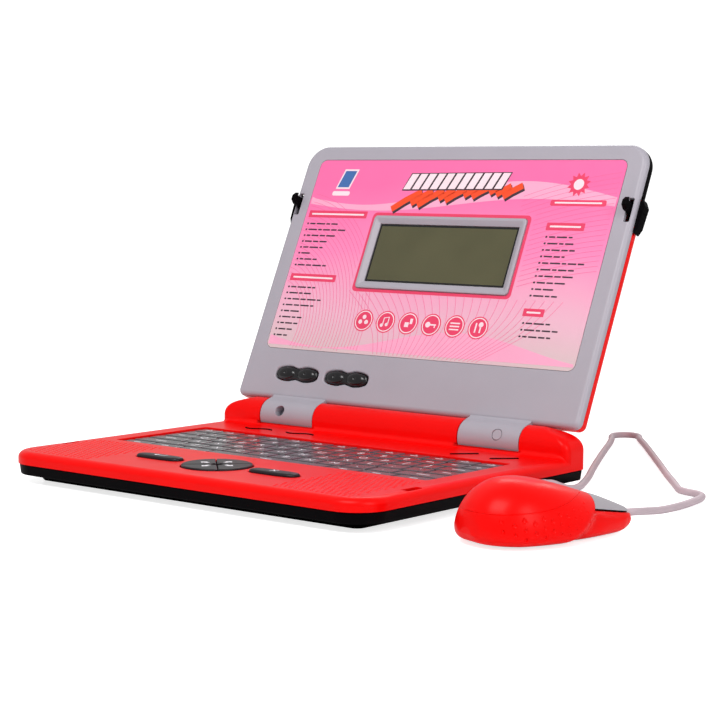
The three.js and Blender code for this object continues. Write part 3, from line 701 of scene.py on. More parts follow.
def seen_only_by_camera(tree, strong, weak):
    """Value that is strong where the camera looks and weak where light bounces."""
    path = tree.nodes.new("ShaderNodeLightPath")
    pick = tree.nodes.new("ShaderNodeMapRange")
    pick.inputs["To Min"].default_value = weak
    pick.inputs["To Max"].default_value = strong
    tree.links.new(path.outputs["Is Camera Ray"], pick.inputs["Value"])
    return pick.outputs["Result"]


def floor_look():
    """White table: bright to the camera, with a soft shadow and a faint reflection."""
    look = Look("studio_floor")
    return look.finish({
        "Base Color": look.blend(look.noise(2), (0.93, 0.93, 0.94, 1), (0.96, 0.96, 0.965, 1)),
        "Roughness": 0.25,
        "Emission Color": (1, 1, 1, 1),
        "Emission Strength": seen_only_by_camera(look.tree, 0.75, 0.0),
    })


def make_studio():
    reach, drop = 4, 0.0004
    bm = bmesh.new()
    bm.faces.new([bm.verts.new(point) for point in at_height(
        box_outline(-reach, reach, -reach, reach), -drop)])
    floor = new_object("studio_floor", bm)
    floor.data.materials.append(floor_look())
    world = bpy.data.worlds.new("studio")
    world.use_nodes = True
    sky = world.node_tree.nodes["Background"]
    sky.inputs["Color"].default_value = (1, 1, 1, 1)
    world.node_tree.links.new(
        seen_only_by_camera(world.node_tree, 1.2, 0.5), sky.inputs["Strength"])
    scene.world = world
    area_light("key", (0.1, -0.9, 1.3), (0, 0, 0.05), (0.9, 0.6), 12)
    area_light("right_side", (1.3, -0.3, 0.8), (0.05, 0, 0.06), (0.5, 0.8), 6)
    area_light("back", (-0.5, 1.2, 0.9), (0, 0.05, 0.05), (0.8, 0.5), 5)


make_cord(make_plug())
make_studio()

# ------------------------------------------------------------------ base: top shell


def base_outline(inset):
    return grown_box(HALF_WIDTH, -HALF_DEPTH, HALF_DEPTH, -inset,
                     max(FRONT_RADIUS - inset, 4), max(BACK_RADIUS - inset, 3), steps=12)


def ridge_end(z):
    """How far the ridge's ends have drawn in at a height."""
    heights = (23, 25.4, 27.4, 29.0, 30.2, 31.2, 32.1, 33.0, 33.8, 34.4)
    insets = (0, 0.7, 2.0, 3.7, 5.6, 8.2, 11.4, 15.0, 18.6, 21.6)
    return float(np.interp(z, heights, insets))


def ridge_solid(inset):
    """The round ridge along the back, as plan outlines over its height."""
    reach = BARREL - inset
    angles = [math.radians(a) for a in (0, 10, 20, 30, 38, 46, 53, 60, 66, 72, 77, 82, 86, 89)]
    levels = [(reach, z) for z in (SPLIT + GAP - 0.01, 15, 19, 22.5)]
    levels += [(reach * math.cos(a), HINGE_Z + reach * math.sin(a)) for a in angles]
    rings = []
    for half, z in levels:
        draw = inset + ridge_end(z + inset)
        rings.append(at_height(rounded_box(
            draw - HALF_WIDTH, HALF_WIDTH - draw, HINGE_Y - half, HINGE_Y + half,
            min(4.5, half * 0.6), min(BACK_RADIUS - inset, half * 1.3)), z))
    return loft(rings)


def ridge_foot():
    """Concave fillet where the deck turns up into the ridge; it stays under the closed lid."""
    reach, height, base = 4.5, 3.2, 12.2
    start = HINGE_Y - BARREL - reach
    end = start + reach + 1.5
    rings = []
    for x, scale in ((-134, 0.02), (-132.6, 0.3), (-130.6, 0.7), (-127, 1), (127, 1), (130.6, 0.7),
                     (132.6, 0.3), (134, 0.02)):
        edge = min(HALF_WIDTH - abs(x), DECK_EDGE[0]) / DECK_EDGE[0]
        surface = DECK - DECK_EDGE[1] * (1 - math.sqrt(1 - (1 - edge) ** 2))
        arc = [(start + reach * math.sin(a), surface + height * scale * (1 - math.cos(a)))
               for a in (math.pi / 2 * i / 8 for i in range(9))]
        section = [(start, base)] + arc + [(end, arc[-1][1]), (end, base)]
        rings.append([(x, y, z) for y, z in section])
    return loft(rings)


def oval_outline(x, extra):
    return shifted(superellipse(
        OVAL["half_length"] + extra, OVAL["half_width"] + extra, 0.55, 0.55, 56), x, OVAL["y"])


def wave_slot(x, y, low, high, spare):
    """A sound slot bent into one long wave, as a cutter or as the black strip that fills it, which is
    painted shade for the slot's dark inside.
    """
    half_length, half_width, swing = 11.5 - spare, 0.75 - spare, 2.2
    lower, upper = [], []
    for t in np.linspace(-1, 1, 25):
        a, b = half_length * t, swing * math.sin(math.pi * t)
        wide = half_width * math.sqrt(max(1 - (abs(a) / half_length) ** 12, 0.04))
        lower.append((x + a, y + b - wide))
        upper.append((x + a, y + b + wide))
    return prism(lower + upper[::-1], low, high)


def straight_slot(x, y, low, high, spare):
    slot = prism(bar(0, 0, 8.5 - spare, 0.8 - spare, 0.78 - spare, steps=6), low, high)
    slot.data.transform(moved(x, y) @ spun(math.radians(45), "Z"))
    return slot


def sound_slots(low=13, high=DECK + 2, spare=0.0):
    return [wave_slot(x, 65, low, high, spare) for x in (-86.5, -52)] + [
        straight_slot(x, 63, low, high, spare) for x in (76.5, 104.7)]


def palm_pits():
    """Rows of shallow pits on both palm rests, staggered from row to row."""
    pitch, radius, depth = 3.6, 1.2, 0.62
    y0, y1 = -99, -33
    pits = []
    for x0, x1 in ((-124, -68), (68, 125)):
        for row in range(int((y1 - y0) / pitch)):
            for column in range(int((x1 - x0) / pitch)):
                x = x0 + (column + 0.5 * (row % 2)) * pitch
                y = y0 + row * pitch
                off_corner = math.hypot(max(abs(x) - 114, 0), max(-84 - y, 0)) > 14
                by_latch = abs(x) > 126.5 and -65 < y < -48
                by_keyboard = y > -37 and abs(x) < 121
                if off_corner or by_latch or by_keyboard:
                    continue
                pits.append([at_height(circle(radius * share, 8, (x, y)), z) for share, z in (
                    (0.35, DECK - depth), (0.78, DECK - depth * 0.55), (1, DECK + 0.05))])
    return lofts(pits)


def bay_cutters():
    """Room for the lid's knuckles: the bay, the notch ahead of it and the open back."""
    notch_floor, notch_reach, high = 19.9, 22, 60
    cutters = []
    for side in SIDES:
        x0, x1 = across(side, KNUCKLE[0] - 0.5, KNUCKLE[1] + 0.5)
        cutters.append(barrel(x0, x1, POCKET))
        front = block(x0, x1, HINGE_Y - 20, HINGE_Y + 20, notch_floor, high)
        cutters.append(keep_inside(front, barrel(x0 - 1, x1 + 1, notch_reach)))
        cutters.append(block(x0, x1, HINGE_Y, HINGE_Y + 20, SPLIT + 2.5, high))
    return cutters


def make_base_top():
    start = SPLIT + GAP
    edge = [(0, start)] + [(inset, DECK - drop) for inset, drop in quarter_round(*DECK_EDGE, steps=9)]
    outer = unite(stack(base_outline, edge), ridge_solid(0), ridge_foot())
    whole = copy_of(outer)
    hollow = stack(base_outline, [(WALL, start - 1), (WALL, 13), (4.5, DECK - WALL)])
    shell = cut(outer, hollow, ridge_solid(WALL))
    troughs = [
        keep_inside(barrel(*across(side, KNUCKLE[0] - 2.2, KNUCKLE[1] + 2.2), POCKET + 1.5), copy_of(whole))
        for side in SIDES]
    discard(whole)
    shell = unite(shell, *troughs)
    bores = [barrel(*across(side, KNUCKLE[0] - 8, KNUCKLE[1] + 6), PIN_BORE, 24) for side in SIDES]
    keyboard_hole = flared(
        lambda extra: grown_box(KEYS["half"], KEYS["front"], KEYS["back"], extra, 1.6 + extra, steps=5),
        12, DECK, 0.7)
    ovals = [flared(lambda extra, x=x: oval_outline(x, 0.5 + extra), 12, DECK, 0.9)
             for x in (-OVAL["x"], OVAL["x"])]
    dial = flared(lambda extra: circle(ARROWS["radius"] + 0.5 + extra, 72, (0, ARROWS["y"])),
                  12, DECK, 1.0)
    latch_slots = [
        flared(lambda extra, x=x: bar(x, -56.5, 2.4 + extra, 6.7 + extra, 1.1, steps=4), 8, DECK, 0.4)
        for x in (-LATCH_X, LATCH_X)]
    sound = sound_slots()
    mouth = JACK["radius"] + 0.6
    jack = along_x(turned([(JACK["radius"], 120), (JACK["radius"], 134.4), (mouth, 135.1), (mouth, 140)],
                          32), 0, JACK["y"], JACK["z"])
    cut(shell, *bay_cutters(), *bores, keyboard_hole, *ovals, dial, *latch_slots, *sound, jack,
        palm_pits())
    dress(shell, "base_top_shell", "base", RED, sharp=28)
    # Black strips raised in the sound slots are painted shade: they stand for the shadow deep inside the
    # slots.
    strips = unite(*sound_slots(low=16.5, high=DECK + 0.5, spare=0.05))
    publish(strips, "sound_slot_painted_shade", "base", BLACK)


# ------------------------------------------------------------------ base: bottom, door, screws


def make_base_bottom():
    outer = stack(base_outline, [
        (REST_INSET + 0.6, 0), (REST_INSET, 0.08), (REST_INSET - 0.3, 0.4),
        (PLINTH_INSET + 0.3, PLINTH_Z - 0.3), (PLINTH_INSET - 0.3, PLINTH_Z + 0.05),
        (2.5, BAND_Z - 0.07), (1.9, BAND_Z + 0.05), (1.55, BAND_Z + 0.4), (1.4, BAND_Z + 1),
        (0.8, SPLIT - 0.3), (1.0, SPLIT)])
    inner = stack(base_outline, [
        (REST_INSET + 1.5, WALL), (PLINTH_INSET + 0.8, 5.2), (4.4, 5.8), (2.8, SPLIT + 1)])
    shell = cut(outer, inner)
    shell = unite(shell, *turned_at(CASE_SCREWS, [(3.6, 1), (3.6, SPLIT - 0.6)], 24))
    wells = turned_at(CASE_SCREWS, [(3.5, -1), (3.1, 0.5), (3.1, 3)], 32)
    bores = turned_at(CASE_SCREWS, [(1.7, 1), (1.7, 12)], 16)
    recess = block(-DOOR["half"], DOOR["half"], DOOR["front"], DOOR["back"], -1, 5)
    tongue = block(-DOOR["tongue_half"], DOOR["tongue_half"], DOOR["tongue"], DOOR["front"] + 1, -1, 5)
    cut(shell, *wells, *bores, recess, tongue, rod(120, 140, JACK["radius"], 32, JACK["y"], JACK["z"]))
    dress(shell, "base_bottom_shell", "base", BLACK)


def make_door():
    plate = prism(grown_box(DOOR["half"], DOOR["front"], DOOR["back"], -GAP, 0.8, steps=4), 0, 1.8)
    tongue = prism(rounded_box(
        GAP - DOOR["tongue_half"], DOOR["tongue_half"] - GAP, DOOR["tongue"] + GAP, DOOR["front"] + 1,
        1.5, 0.1, steps=4), 0, 3.4)
    door = unite(plate, tongue)
    place = (0, DOOR["screw_y"])
    grips = [prism(bar(x, 80.5, 1.5, 2.5, 0.8, steps=4), -1, 0.6) for x in (15, 20, 25, -15, -20, -25)]
    cut(door, turned([(1.5, -1), (1.5, 4)], 20, place), turned([(2.9, -1), (2.7, 2)], 28, place), *grips)
    dress(door, "battery_door", "base", BLACK)


def screw_solid(length, head=2.3, shank=1.15):
    """Domed screw with a crossed slot, head at z 0 and shank upwards."""
    screw = turned([(head * 0.35, 0), (head * 0.75, 0.18), (head * 0.95, 0.6), (head, 1.1),
                    (head, 1.6), (shank, 1.62), (shank, length - 0.8), (0.3, length)], 28)
    reach, half = 1.35, 0.28
    arms = [block(-a, a, -b, b, -1, 0.95) for a, b in ((reach, half), (half, reach))]
    return cut(screw, *arms)


def make_screws():
    screws = [("battery_door_screw", "base", 9, moved(0, DOOR["screw_y"], 0.2))]
    screws += [(f"case_screw_{i}", "base", 13.5, moved(x, y, 1.2))
               for i, (x, y) in enumerate(CASE_SCREWS, 1)]
    screws += [(f"lid_screw_{i}", "lid", 8, lid_frame @ moved(x, y, LID_BACK + 0.8))
               for i, (x, y) in enumerate(LID_SCREWS, 1)]
    screws.append(("mouse_screw", "mouse", 5, mouse_frame @ moved(MOUSE_SCREW[0], MOUSE_SCREW[1], 0.2)))
    for node, body, length, place in screws:
        dress(screw_solid(length), node, body, STEEL, matrix=place)


# ------------------------------------------------------------------ keyboard

# Rows from the front: widths in keys, and legends. "_" is a long bar, "-" a short one and ""
# a short one with a dot.
KEY_ROWS = [
    [(1.3, "-"), (1.3, "-"), (1.3, "-"), (5, "_"), (1.3, "-"), (1.3, "-"), (1.5, "-")],
    [(2.1, "_")] + [(1, c) for c in "ZXCVBNM,."] + [(1.9, "_")],
    [(1.7, "_")] + [(1, c) for c in "ASDFGHJKL;'"] + [(1.3, "-")],
    [(1.4, "-")] + [(1, c) for c in "QWERTYUIOP[]"] + [(1.6, "_")],
    [(1, c) for c in "`1234567890-=+"],
    [(1, "")] * 13,
]


def key_places():
    """Each key's sides, front and back, and its legend."""
    pitch = (KEYS["back"] - KEYS["front"]) / len(KEY_ROWS)
    half_gap = KEYS["gap"] / 2
    places = []
    for r, row in enumerate(KEY_ROWS):
        unit = 2 * KEYS["half"] / sum(width for width, _ in row)
        x = -KEYS["half"]
        y = KEYS["front"] + r * pitch
        for width, legend in row:
            end = x + width * unit
            places.append((x + half_gap, end - half_gap, y + half_gap, y + pitch - half_gap, legend))
            x = end
    return places


def make_keyboard():
    """Soft mat: one sheet under the deck with all of its key caps standing through the opening."""
    profile = [(0, 15.0), (0.12, 16.1), (0.34, 16.7), (0.72, 17.0), (1.3, KEYS["top"])]
    caps = lofts([
        [at_height(rounded_box(
            x0 + inset, x1 - inset, y0 + inset, y1 - inset, max(1.3 - inset * 0.5, 0.5), steps=4), z)
         for inset, z in profile]
        for x0, x1, y0, y1, _ in key_places()])
    sheet = prism(grown_box(KEYS["half"], KEYS["front"], KEYS["back"], 2, 1.5), 13.8, 15.4)
    dress(unite(sheet, caps), "keyboard_mat", "base", KEY, sharp=38)


def flat_character(text):
    """A character as a thin solid about z 0."""
    curve = bpy.data.curves.new("character", "FONT")
    curve.body = text
    curve.size = 7.2
    curve.align_x = "CENTER"
    curve.align_y = "CENTER"
    curve.extrude = 0.03
    curve.resolution_u = 3
    obj = bpy.data.objects.new("character", curve)
    scene.collection.objects.link(obj)
    graph = bpy.context.evaluated_depsgraph_get()
    mesh = bpy.data.meshes.new_from_object(obj.evaluated_get(graph))
    bpy.data.objects.remove(obj)
    bpy.data.curves.remove(curve)
    return mesh


def make_legends():
    """Generic single letters, digits and bars printed on the keys."""
    bm = bmesh.new()
    top, half_thick = KEYS["top"], 0.03
    known = {}
    for x0, x1, y0, y1, legend in key_places():
        x, y = (x0 + x1) / 2, (y0 + y1) / 2
        if legend in ("_", "-", ""):
            marks = [bar(x, y, 4.4 if legend == "_" else 2.8, 0.55, 0.4, steps=3)]
            if legend == "":
                marks.append(circle(0.55, 12, (x, y + 2.4)))
            for mark in marks:
                add_loft(bm, [at_height(mark, top - half_thick), at_height(mark, top + half_thick)])
            continue
        if legend not in known:
            known[legend] = flat_character(legend)
        mesh = known[legend].copy()
        mesh.transform(moved(x, y, top))
        bm.from_mesh(mesh)
        bpy.data.meshes.remove(mesh)
    for mesh in known.values():
        bpy.data.meshes.remove(mesh)
    bmesh.ops.remove_doubles(bm, verts=bm.verts, dist=0.002)
    publish(new_object("legends", bm), "key_legends", "base", LEGEND)


# ------------------------------------------------------------------ deck buttons


def print_marks(outlines, z, name, body, **options):
    """Pale marks printed on a button's face at height z."""
    publish(prisms(outlines, z - 0.025, z + 0.025), name, body, LEGEND, slot="button_rubber", **options)


def stroke(points, width):
    """Outline of a line of constant width through the points."""
    places = [Vector(point) for point in points]
    left, right = [], []
    for i, place in enumerate(places):
        along = (places[min(i + 1, len(places) - 1)] - places[max(i - 1, 0)]).normalized()
        side = Vector((-along.y, along.x)) * width / 2
        left.append(tuple(place + side))
        right.append(tuple(place - side))
    return right + left[::-1]


def make_oval_button(name, x, marks):
    crown = [(1.6, 14), (1.6, 15.6), (0, 15.62), (0, 18.3)]
    crown += [(-inset, 19.7 - drop) for inset, drop in quarter_round(1.6, 1.4, 6)[1:]]
    crown += [(-2.6, 19.86), (-3.8, 19.9)]
    button = stack(lambda extra: oval_outline(x, extra), crown)
    dress(button, name, name, BUTTON, sharp=40)
    print_marks([shifted(mark, x, OVAL["y"]) for mark in marks], 19.92, f"{name}_print", name)


def sector_outline(offset):
    """Outline of one arrow key, a quarter of the dial that points to +x."""
    radius, hub, half_gap = ARROWS["radius"] - offset, 3.4 + offset, 0.2 + offset
    far = math.pi / 4 - math.asin(half_gap / radius)
    near = math.pi / 4 - math.asin(half_gap / hub)
    outer = [(radius * math.cos(a), radius * math.sin(a)) for a in np.linspace(-far, far, 28)]
    inner = [(hub * math.cos(a), hub * math.sin(a)) for a in np.linspace(near, -near, 10)]
    return outer + inner


def make_arrow_key(side, turn):
    key = stack(sector_outline, [(0, 15)] + [
        (inset, 19 - drop) for inset, drop in quarter_round(0.9, 0.8, 5)])
    flange = [(a * 1.08, b * 1.08) if math.hypot(a, b) > 12 else (a, b) for a, b in sector_outline(0)]
    key = unite(key, prism(flange, 14, 15.6))
    spin = moved(0, ARROWS["y"]) @ spun(math.radians(turn), "Z")
    dress(key, f"arrow_key_{side}", f"arrow_{side}", BUTTON, matrix=spin, sharp=40)
    arrow = [(12.4, 0), (9.2, 2.7), (9.2, 1.1), (6.4, 1.1), (6.4, -1.1), (9.2, -1.1), (9.2, -2.7)]
    print_marks([arrow[::-1]], 19.02, f"arrow_key_{side}_print", f"arrow_{side}", matrix=spin)


def make_deck_buttons():
    hook = [(4.2, 2.0), (4.2, -0.5), (-1.6, -0.5)]
    head = [(-4.4, -0.5), (-1.4, 1.2), (-1.4, -2.2)]
    make_oval_button("enter_button", -OVAL["x"], [stroke(hook, 0.8), head[::-1]])
    make_oval_button("escape_button", OVAL["x"], [
        stroke([(-1.9, -1.9), (1.9, 1.9)], 0.8), stroke([(-1.9, 1.9), (1.9, -1.9)], 0.8)])
    for side, turn in (("right", 0), ("up", 90), ("left", 180), ("down", 270)):
        make_arrow_key(side, turn)


make_base_top()
make_base_bottom()
make_door()
make_screws()
make_keyboard()
make_legends()
make_deck_buttons()

# ------------------------------------------------------------------ lid front


def on_lid(obj, node, material, **options):
    return dress(obj, node, "lid", material, matrix=lid_frame, **options)


def lid_outline(inset):
    return grown_box(LID_HALF, LID_BOTTOM, LID_TOP, -inset,
                     max(LID_BOTTOM_RADIUS - inset, 1), max(LID_TOP_RADIUS - inset, 2), steps=12)


def lid_stack(*levels):
    return stack(lid_outline, levels)


def panel_outline(extra):
    return grown_box(PANEL["half"], PANEL["bottom"], PANEL["top"], extra, PANEL["radius"] + extra)


def screen_outline(extra, radius):
    return grown_box(SCREEN["half"], SCREEN["bottom"], SCREEN["top"], extra, radius, steps=6)


def rocker_outline(extra):
    """Two round lobes with a waist between them."""
    return superellipse(
        ROCKER["half_length"] + extra, ROCKER["half_width"] + extra, 0.8, 0.6, 64,
        lambda x: 1 - 0.3 * math.exp(-(x / 4.2) ** 2))


def screen_surround():
    """Raised frame round the screen, and the cutter for the slope that leads down to the glass."""
    high = LID_FACE + SCREEN["raise"]
    outer = stack(lambda inset: screen_outline(SCREEN["frame"] - inset, 2.6), [
        (0, LID_FACE - 2), (0, high - 0.55), (0.1, high - 0.25), (0.35, high - 0.07), (0.7, high)])
    funnel = loft([at_height(screen_outline(extra, radius), z) for extra, radius, z in (
        (0, 0.5, LID_FACE - 4), (0, 0.5, LID_FACE - 0.9), (0.25, 0.6, LID_FACE - 0.6),
        (3.1, 1.4, high - 0.12), (3.6, 1.6, high + 0.02), (3.7, 1.6, high + 3))])
    return outer, funnel


def knuckle():
    """Barrel on the right side of the lid that turns in its bay, joined to the lid by a neck."""
    x0, x1 = KNUCKLE
    drum = along_x(turned([
        (BARREL - 0.5, x0), (BARREL - 0.13, x0 + 0.15), (BARREL, x0 + 0.5),
        (BARREL, x1 - 0.5), (BARREL - 0.13, x1 - 0.15), (BARREL - 0.5, x1)], 96))
    neck = section_prism([
        (0, -BARREL * 0.4), (LID_BOTTOM - 0.6, LID_SPLIT), (LID_BOTTOM + 2, LID_SPLIT),
        (LID_BOTTOM + 2, LID_FACE),
        (11.8, 2.5), (11.0, 3.1), (10.2, 4.0), (9.3, 5.1), (8.5, 5.95), (0, BARREL * 0.9)], x0, x1)
    hollow = rod(x0 + 2, x1 - 2, BARREL - 2, 48)
    boss = rod(x0, x1, 4.4, 32)
    well_place = (WELL_X, 0)
    tube_radius = WELL_RADIUS + 1.4
    tube = keep_inside(turned([(tube_radius, 0), (tube_radius, BARREL + 1)], 40, well_place), copy_of(drum))
    ring = unite(cut(unite(drum, neck), hollow), boss, tube)
    well = turned([(WELL_RADIUS, 3.2), (WELL_RADIUS, BARREL - 0.5), (WELL_RADIUS + 0.45, BARREL + 0.1),
                   (WELL_RADIUS + 0.5, BARREL + 3)], 48, well_place)
    return cut(ring, rod(x0 - 1, x1 + 1, PIN_BORE, 32), well)


def latch_room(inner, below, above, low, high):
    """Blocks at both sides of the lid that clear the latches' arms and thumb tabs."""
    return [block(*across(side, inner, 140), LATCH_Y - below, LATCH_Y + above, low, high)
            for side in SIDES]


def make_bezel():
    plate = lid_stack((0, LID_SPLIT), *[
        (inset, LID_FACE - drop) for inset, drop in quarter_round(3.4, 3.4, 9)])
    hollow = lid_stack((WALL, LID_SPLIT - 1), (WALL, LID_FACE - 3.2), (3.6, LID_FACE - 2.2))
    recess = flared(panel_outline, LID_FACE - PANEL["depth"], LID_FACE, 0.35)
    surround, funnel = screen_surround()
    shell = unite(cut(plate, hollow, recess), surround)
    right = knuckle()
    shell = unite(shell, copy_of(right, mirror=True), right)
    rocker_holes = [
        flared(lambda extra, x=x: shifted(rocker_outline(0.6 + extra), x, ROCKER["y"]), -8, LID_FACE, 1.3, 5)
        for x in ROCKER["places"]]
    hook_slots = [
        flared(lambda extra, x=x: bar(x, LATCH_Y - 0.75, 2 + extra, 7.75 + extra, 0.8, steps=4),
               LID_FACE - 4, LID_FACE, 0.35)
        for x in (-LATCH_X, LATCH_X)]
    tab_slots = latch_room(128, 14.5, 9.5, LID_SPLIT - 1, LID_FACE - 3.8)
    wire_ways = [block(*across(side, 63, 95), 5, LID_BOTTOM + 8, -3.4, -0.6) for side in SIDES]
    cut(shell, funnel, *rocker_holes, *hook_slots, *tab_slots, *wire_ways)
    on_lid(shell, "lid_bezel", GREY)


def make_artwork_sheet():
    bottom = LID_FACE - PANEL["depth"] + GAP
    sheet = prism(panel_outline(-GAP), bottom, bottom + 0.4)
    cut(sheet, prism(screen_outline(SCREEN["frame"] + GAP, 2.7), -3, 6))
    on_lid(sheet, "artwork_panel", FILM)


def make_screen():
    glass_top = LID_FACE - 1.4
    glass = prism(screen_outline(-0.3, 0.4), glass_top - 2, glass_top)
    cell = block(-SCREEN["half"] - 3, SCREEN["half"] + 3, SCREEN["bottom"] - 3, SCREEN["top"] + 3,
                 glass_top - 3.6, glass_top - 1.4)
    on_lid(unite(glass, cell), "lcd_panel", DISPLAY)
    # The thin black ring round the glass is painted shade, for the shadow that the recess casts along the
    # screen's inner edges.
    shade_ring = prism(screen_outline(-0.35, 0.4), glass_top - 0.02, glass_top + 0.05)
    cut(shade_ring, prism(screen_outline(-1.5, 0.4), 0, 5))
    publish(shade_ring, "lcd_painted_shade_ring", "lid", BLACK_GLOSS, matrix=lid_frame)


def rocker_dome(side):
    """Half of a long round dome over one lobe of a rocker."""
    lobe = ROCKER["lobe"]
    rings = []
    for i in range(9):
        angle = math.pi / 2 * i / 8 * 0.985
        outline = [(side * lobe + a * lobe * 0.86, b * ROCKER["half_width"] * 0.86)
                   for a, b in circle(math.cos(angle), 40)]
        if i == 0:
            rings.append(at_height(outline, LID_FACE - 1.5))
        rings.append(at_height(outline, LID_FACE + 0.2 + 1.75 * math.sin(angle)))
    return loft(rings)


def make_rockers():
    crown = [(0, LID_FACE - 3), (0, LID_FACE - 0.6)]
    crown += [(-inset, LID_FACE + 0.5 - drop) for inset, drop in quarter_round(1.3, 1.1, 6)[1:]]
    dip = [(0.05, LID_FACE + 1.55), (0.9, LID_FACE + 1.68), (1.5, LID_FACE + 2.1), (1.6, LID_FACE + 3)]
    for name, x in zip(("volume_rocker", "contrast_rocker"), ROCKER["places"]):
        key = unite(stack(rocker_outline, crown), *[rocker_dome(side) for side in SIDES])
        key = cut(key, *turned_at([(side * ROCKER["lobe"], 0) for side in SIDES], dip, 28))
        key = unite(key, block(-7, 7, -7, 7, LID_FACE - 4.2, LID_FACE - 2.8))
        dress(key, name, name, BLACK_GLOSS, matrix=lid_frame @ moved(x, ROCKER["y"]), sharp=42)


def latch_solid():
    """Hook that stands through the bezel and a faceted thumb tab on the side, on one arm."""
    tip = LID_FACE + 7.4
    root = LID_FACE - 4.4
    y = LATCH_Y
    hook = section_prism([
        (y - 2.6, root), (y + 3.6, root), (y + 3.6, tip - 3), (y + 5.4, tip - 3), (y + 5.4, tip - 2.2),
        (y + 2.6, tip), (y - 0.6, tip), (y - 2.6, tip - 3)], LATCH_X - 1.4, LATCH_X + 1.4)
    rib = section_prism([(y - 4.4, root), (y - 2, root), (y - 2, tip - 4.2)], LATCH_X - 0.6, LATCH_X + 0.6)
    arm = block(LATCH_X - 1.8, 135, y - 8, y + 7, root - 1.6, root + 0.2)
    outline = [(134, y - 14), (135, y - 14), (136.8, y - 10), (137.6, y + 3.5), (135, y + 8), (134, y + 8)]
    tab = prism(outline, root - 5, root + 1)
    grooves = []
    for i in range(3):
        at = y - 8 + i * 3.2
        grooves.append(block(136.9 + 0.1 * i, 140, at, at + 0.8, root - 6, root + 2))
    tab = cut(softened(tab, 0.35), *grooves)
    return unite(softened(hook, 0.3), rib, arm, tab)


def make_latches():
    right = latch_solid()
    left = copy_of(right, mirror=True)
    for name, solid in (("right_latch", right), ("left_latch", left)):
        dress(solid, name, name, BLACK, matrix=lid_frame, sharp=40)


# ------------------------------------------------------------------ lid back


def make_lid_back():
    """Red back shell, and the black band that runs round its top corners."""
    start, far = LID_SPLIT - GAP, 300
    outer = lid_stack(*[(inset, LID_BACK + rise) for inset, rise in (
        (8, 0), (6, 0.1), (4.2, 0.42), (2.7, 0.95), (1.6, 1.6), (0.85, 2.4), (0.35, 3.3), (0.08, 4.3),
        (0, 5))], (0, start))
    inner = lid_stack((6, LID_BACK + WALL), (WALL, LID_BACK + 4.2), (WALL, start + 1))
    cap_wall = BAND_WIDTH + GAP + WALL
    latch_cuts = latch_room(128, 14.5, 9.5, LID_FACE - 6.6, 2) + latch_room(
        133.2, 18.6, 8.6, LID_FACE - 9.9, 2)
    core = lid_stack((BAND_WIDTH, LID_BACK - 1), (BAND_WIDTH, start + 1))
    trim = keep_inside(copy_of(outer), block(-far, far, BAND_START, far, -50, 50))
    trim = cut(trim, core, *[copy_of(tool) for tool in latch_cuts])
    lower = cut(keep_inside(copy_of(outer), block(-far, far, 0, BAND_START - GAP, -50, 50)),
                copy_of(inner))
    core_inside = lid_stack((BAND_WIDTH + GAP, LID_BACK - 1), (BAND_WIDTH + GAP, start + 1))
    inner_upper = lid_stack((cap_wall, LID_BACK + WALL), (cap_wall, start + 1))
    cap = cut(keep_inside(outer, core_inside), keep_inside(inner_upper, inner))
    shell = unite(lower, cap, *turned_at(LID_SCREWS, [(3.4, LID_BACK + 1), (3.4, 0)], 24))
    wells = turned_at(LID_SCREWS, [(3.2, LID_BACK - 1), (2.8, LID_BACK + 0.4), (2.8, LID_BACK + 3)], 32)
    bores = turned_at(LID_SCREWS, [(1.5, LID_BACK), (1.5, 1)], 16)
    shell = cut(shell, *wells, *bores, *latch_cuts)
    on_lid(shell, "lid_back_shell", RED)
    on_lid(trim, "lid_edge_band", BLACK)


def make_hinge_covers():
    place = lid_frame @ moved(-WELL_X, 0, 5.4) @ spun(math.pi, "X")
    dress(screw_solid(1.8, WELL_RADIUS - 0.7, 1.2), "hinge_cover_screw", "lid", STEEL, matrix=place)
    radius, top = WELL_RADIUS - GAP, BARREL - 0.45
    cap = turned([(radius, 6.5), (radius, top - 0.25), (radius - 0.25, top)], 48, (WELL_X, 0))
    on_lid(cap, "hinge_screw_cap", GREY)


# ------------------------------------------------------------------ printed artwork


def allowed(point):
    """True where the printed sheet is, away from its edges and from the screen's surround."""
    x, y = point
    on_sheet = abs(x) < PANEL["half"] - 1 and PANEL["bottom"] + 1 < y < PANEL["top"] - 1
    by_screen = abs(x) < 63.2 and 88.0 < y < 144.5
    return on_sheet and not by_screen


def fine_lines(points):
    """The runs of a line that lie on the sheet, as fine strokes."""
    runs = [[]]
    for point in points:
        if allowed(point):
            runs[-1].append(point)
        else:
            runs.append([])
    return [stroke(run, 0.28) for run in runs if len(run) > 2]


def line_art():
    """Families of fine curves: rings at the lower left, a fan below the screen, rays at the right."""
    outlines = []
    for i in range(22):
        radius = 30 + 2.6 * i
        outlines += fine_lines([
            (-128 + radius * math.cos(a), 60 + radius * 1.15 * math.sin(a))
            for a in np.linspace(-0.6, 1.9, 60)])
    for i in range(26):
        start = Vector((-30 + 3.2 * i, 46))
        end = Vector((-64 + 6.6 * i, 88))
        sag = [start.lerp(end, t) + Vector((7 * math.sin(math.pi * t), 0)) for t in np.linspace(0, 1, 24)]
        outlines += fine_lines([tuple(p) for p in sag])
    for i in range(20):
        outlines += fine_lines([
            (52 + 70 * t, 92 + 3.4 * i + 26 * t - 9 * t * t) for t in np.linspace(0, 1, 40)])
    return outlines


def broad_waves():
    """Wide soft shapes behind the print."""
    def band(lower, upper):
        xs = np.linspace(-119.4, 119.4, 90)
        return [(x, lower(x)) for x in xs] + [(x, upper(x)) for x in xs[::-1]]
    low = band(lambda x: 47.5, lambda x: 56 + 8 * math.sin(x / 34 + 0.6))
    high = band(lambda x: 150 + 5 * math.sin(x / 40), lambda x: 158 + 9 * math.sin(x / 40 + 0.3))
    return [low, high]


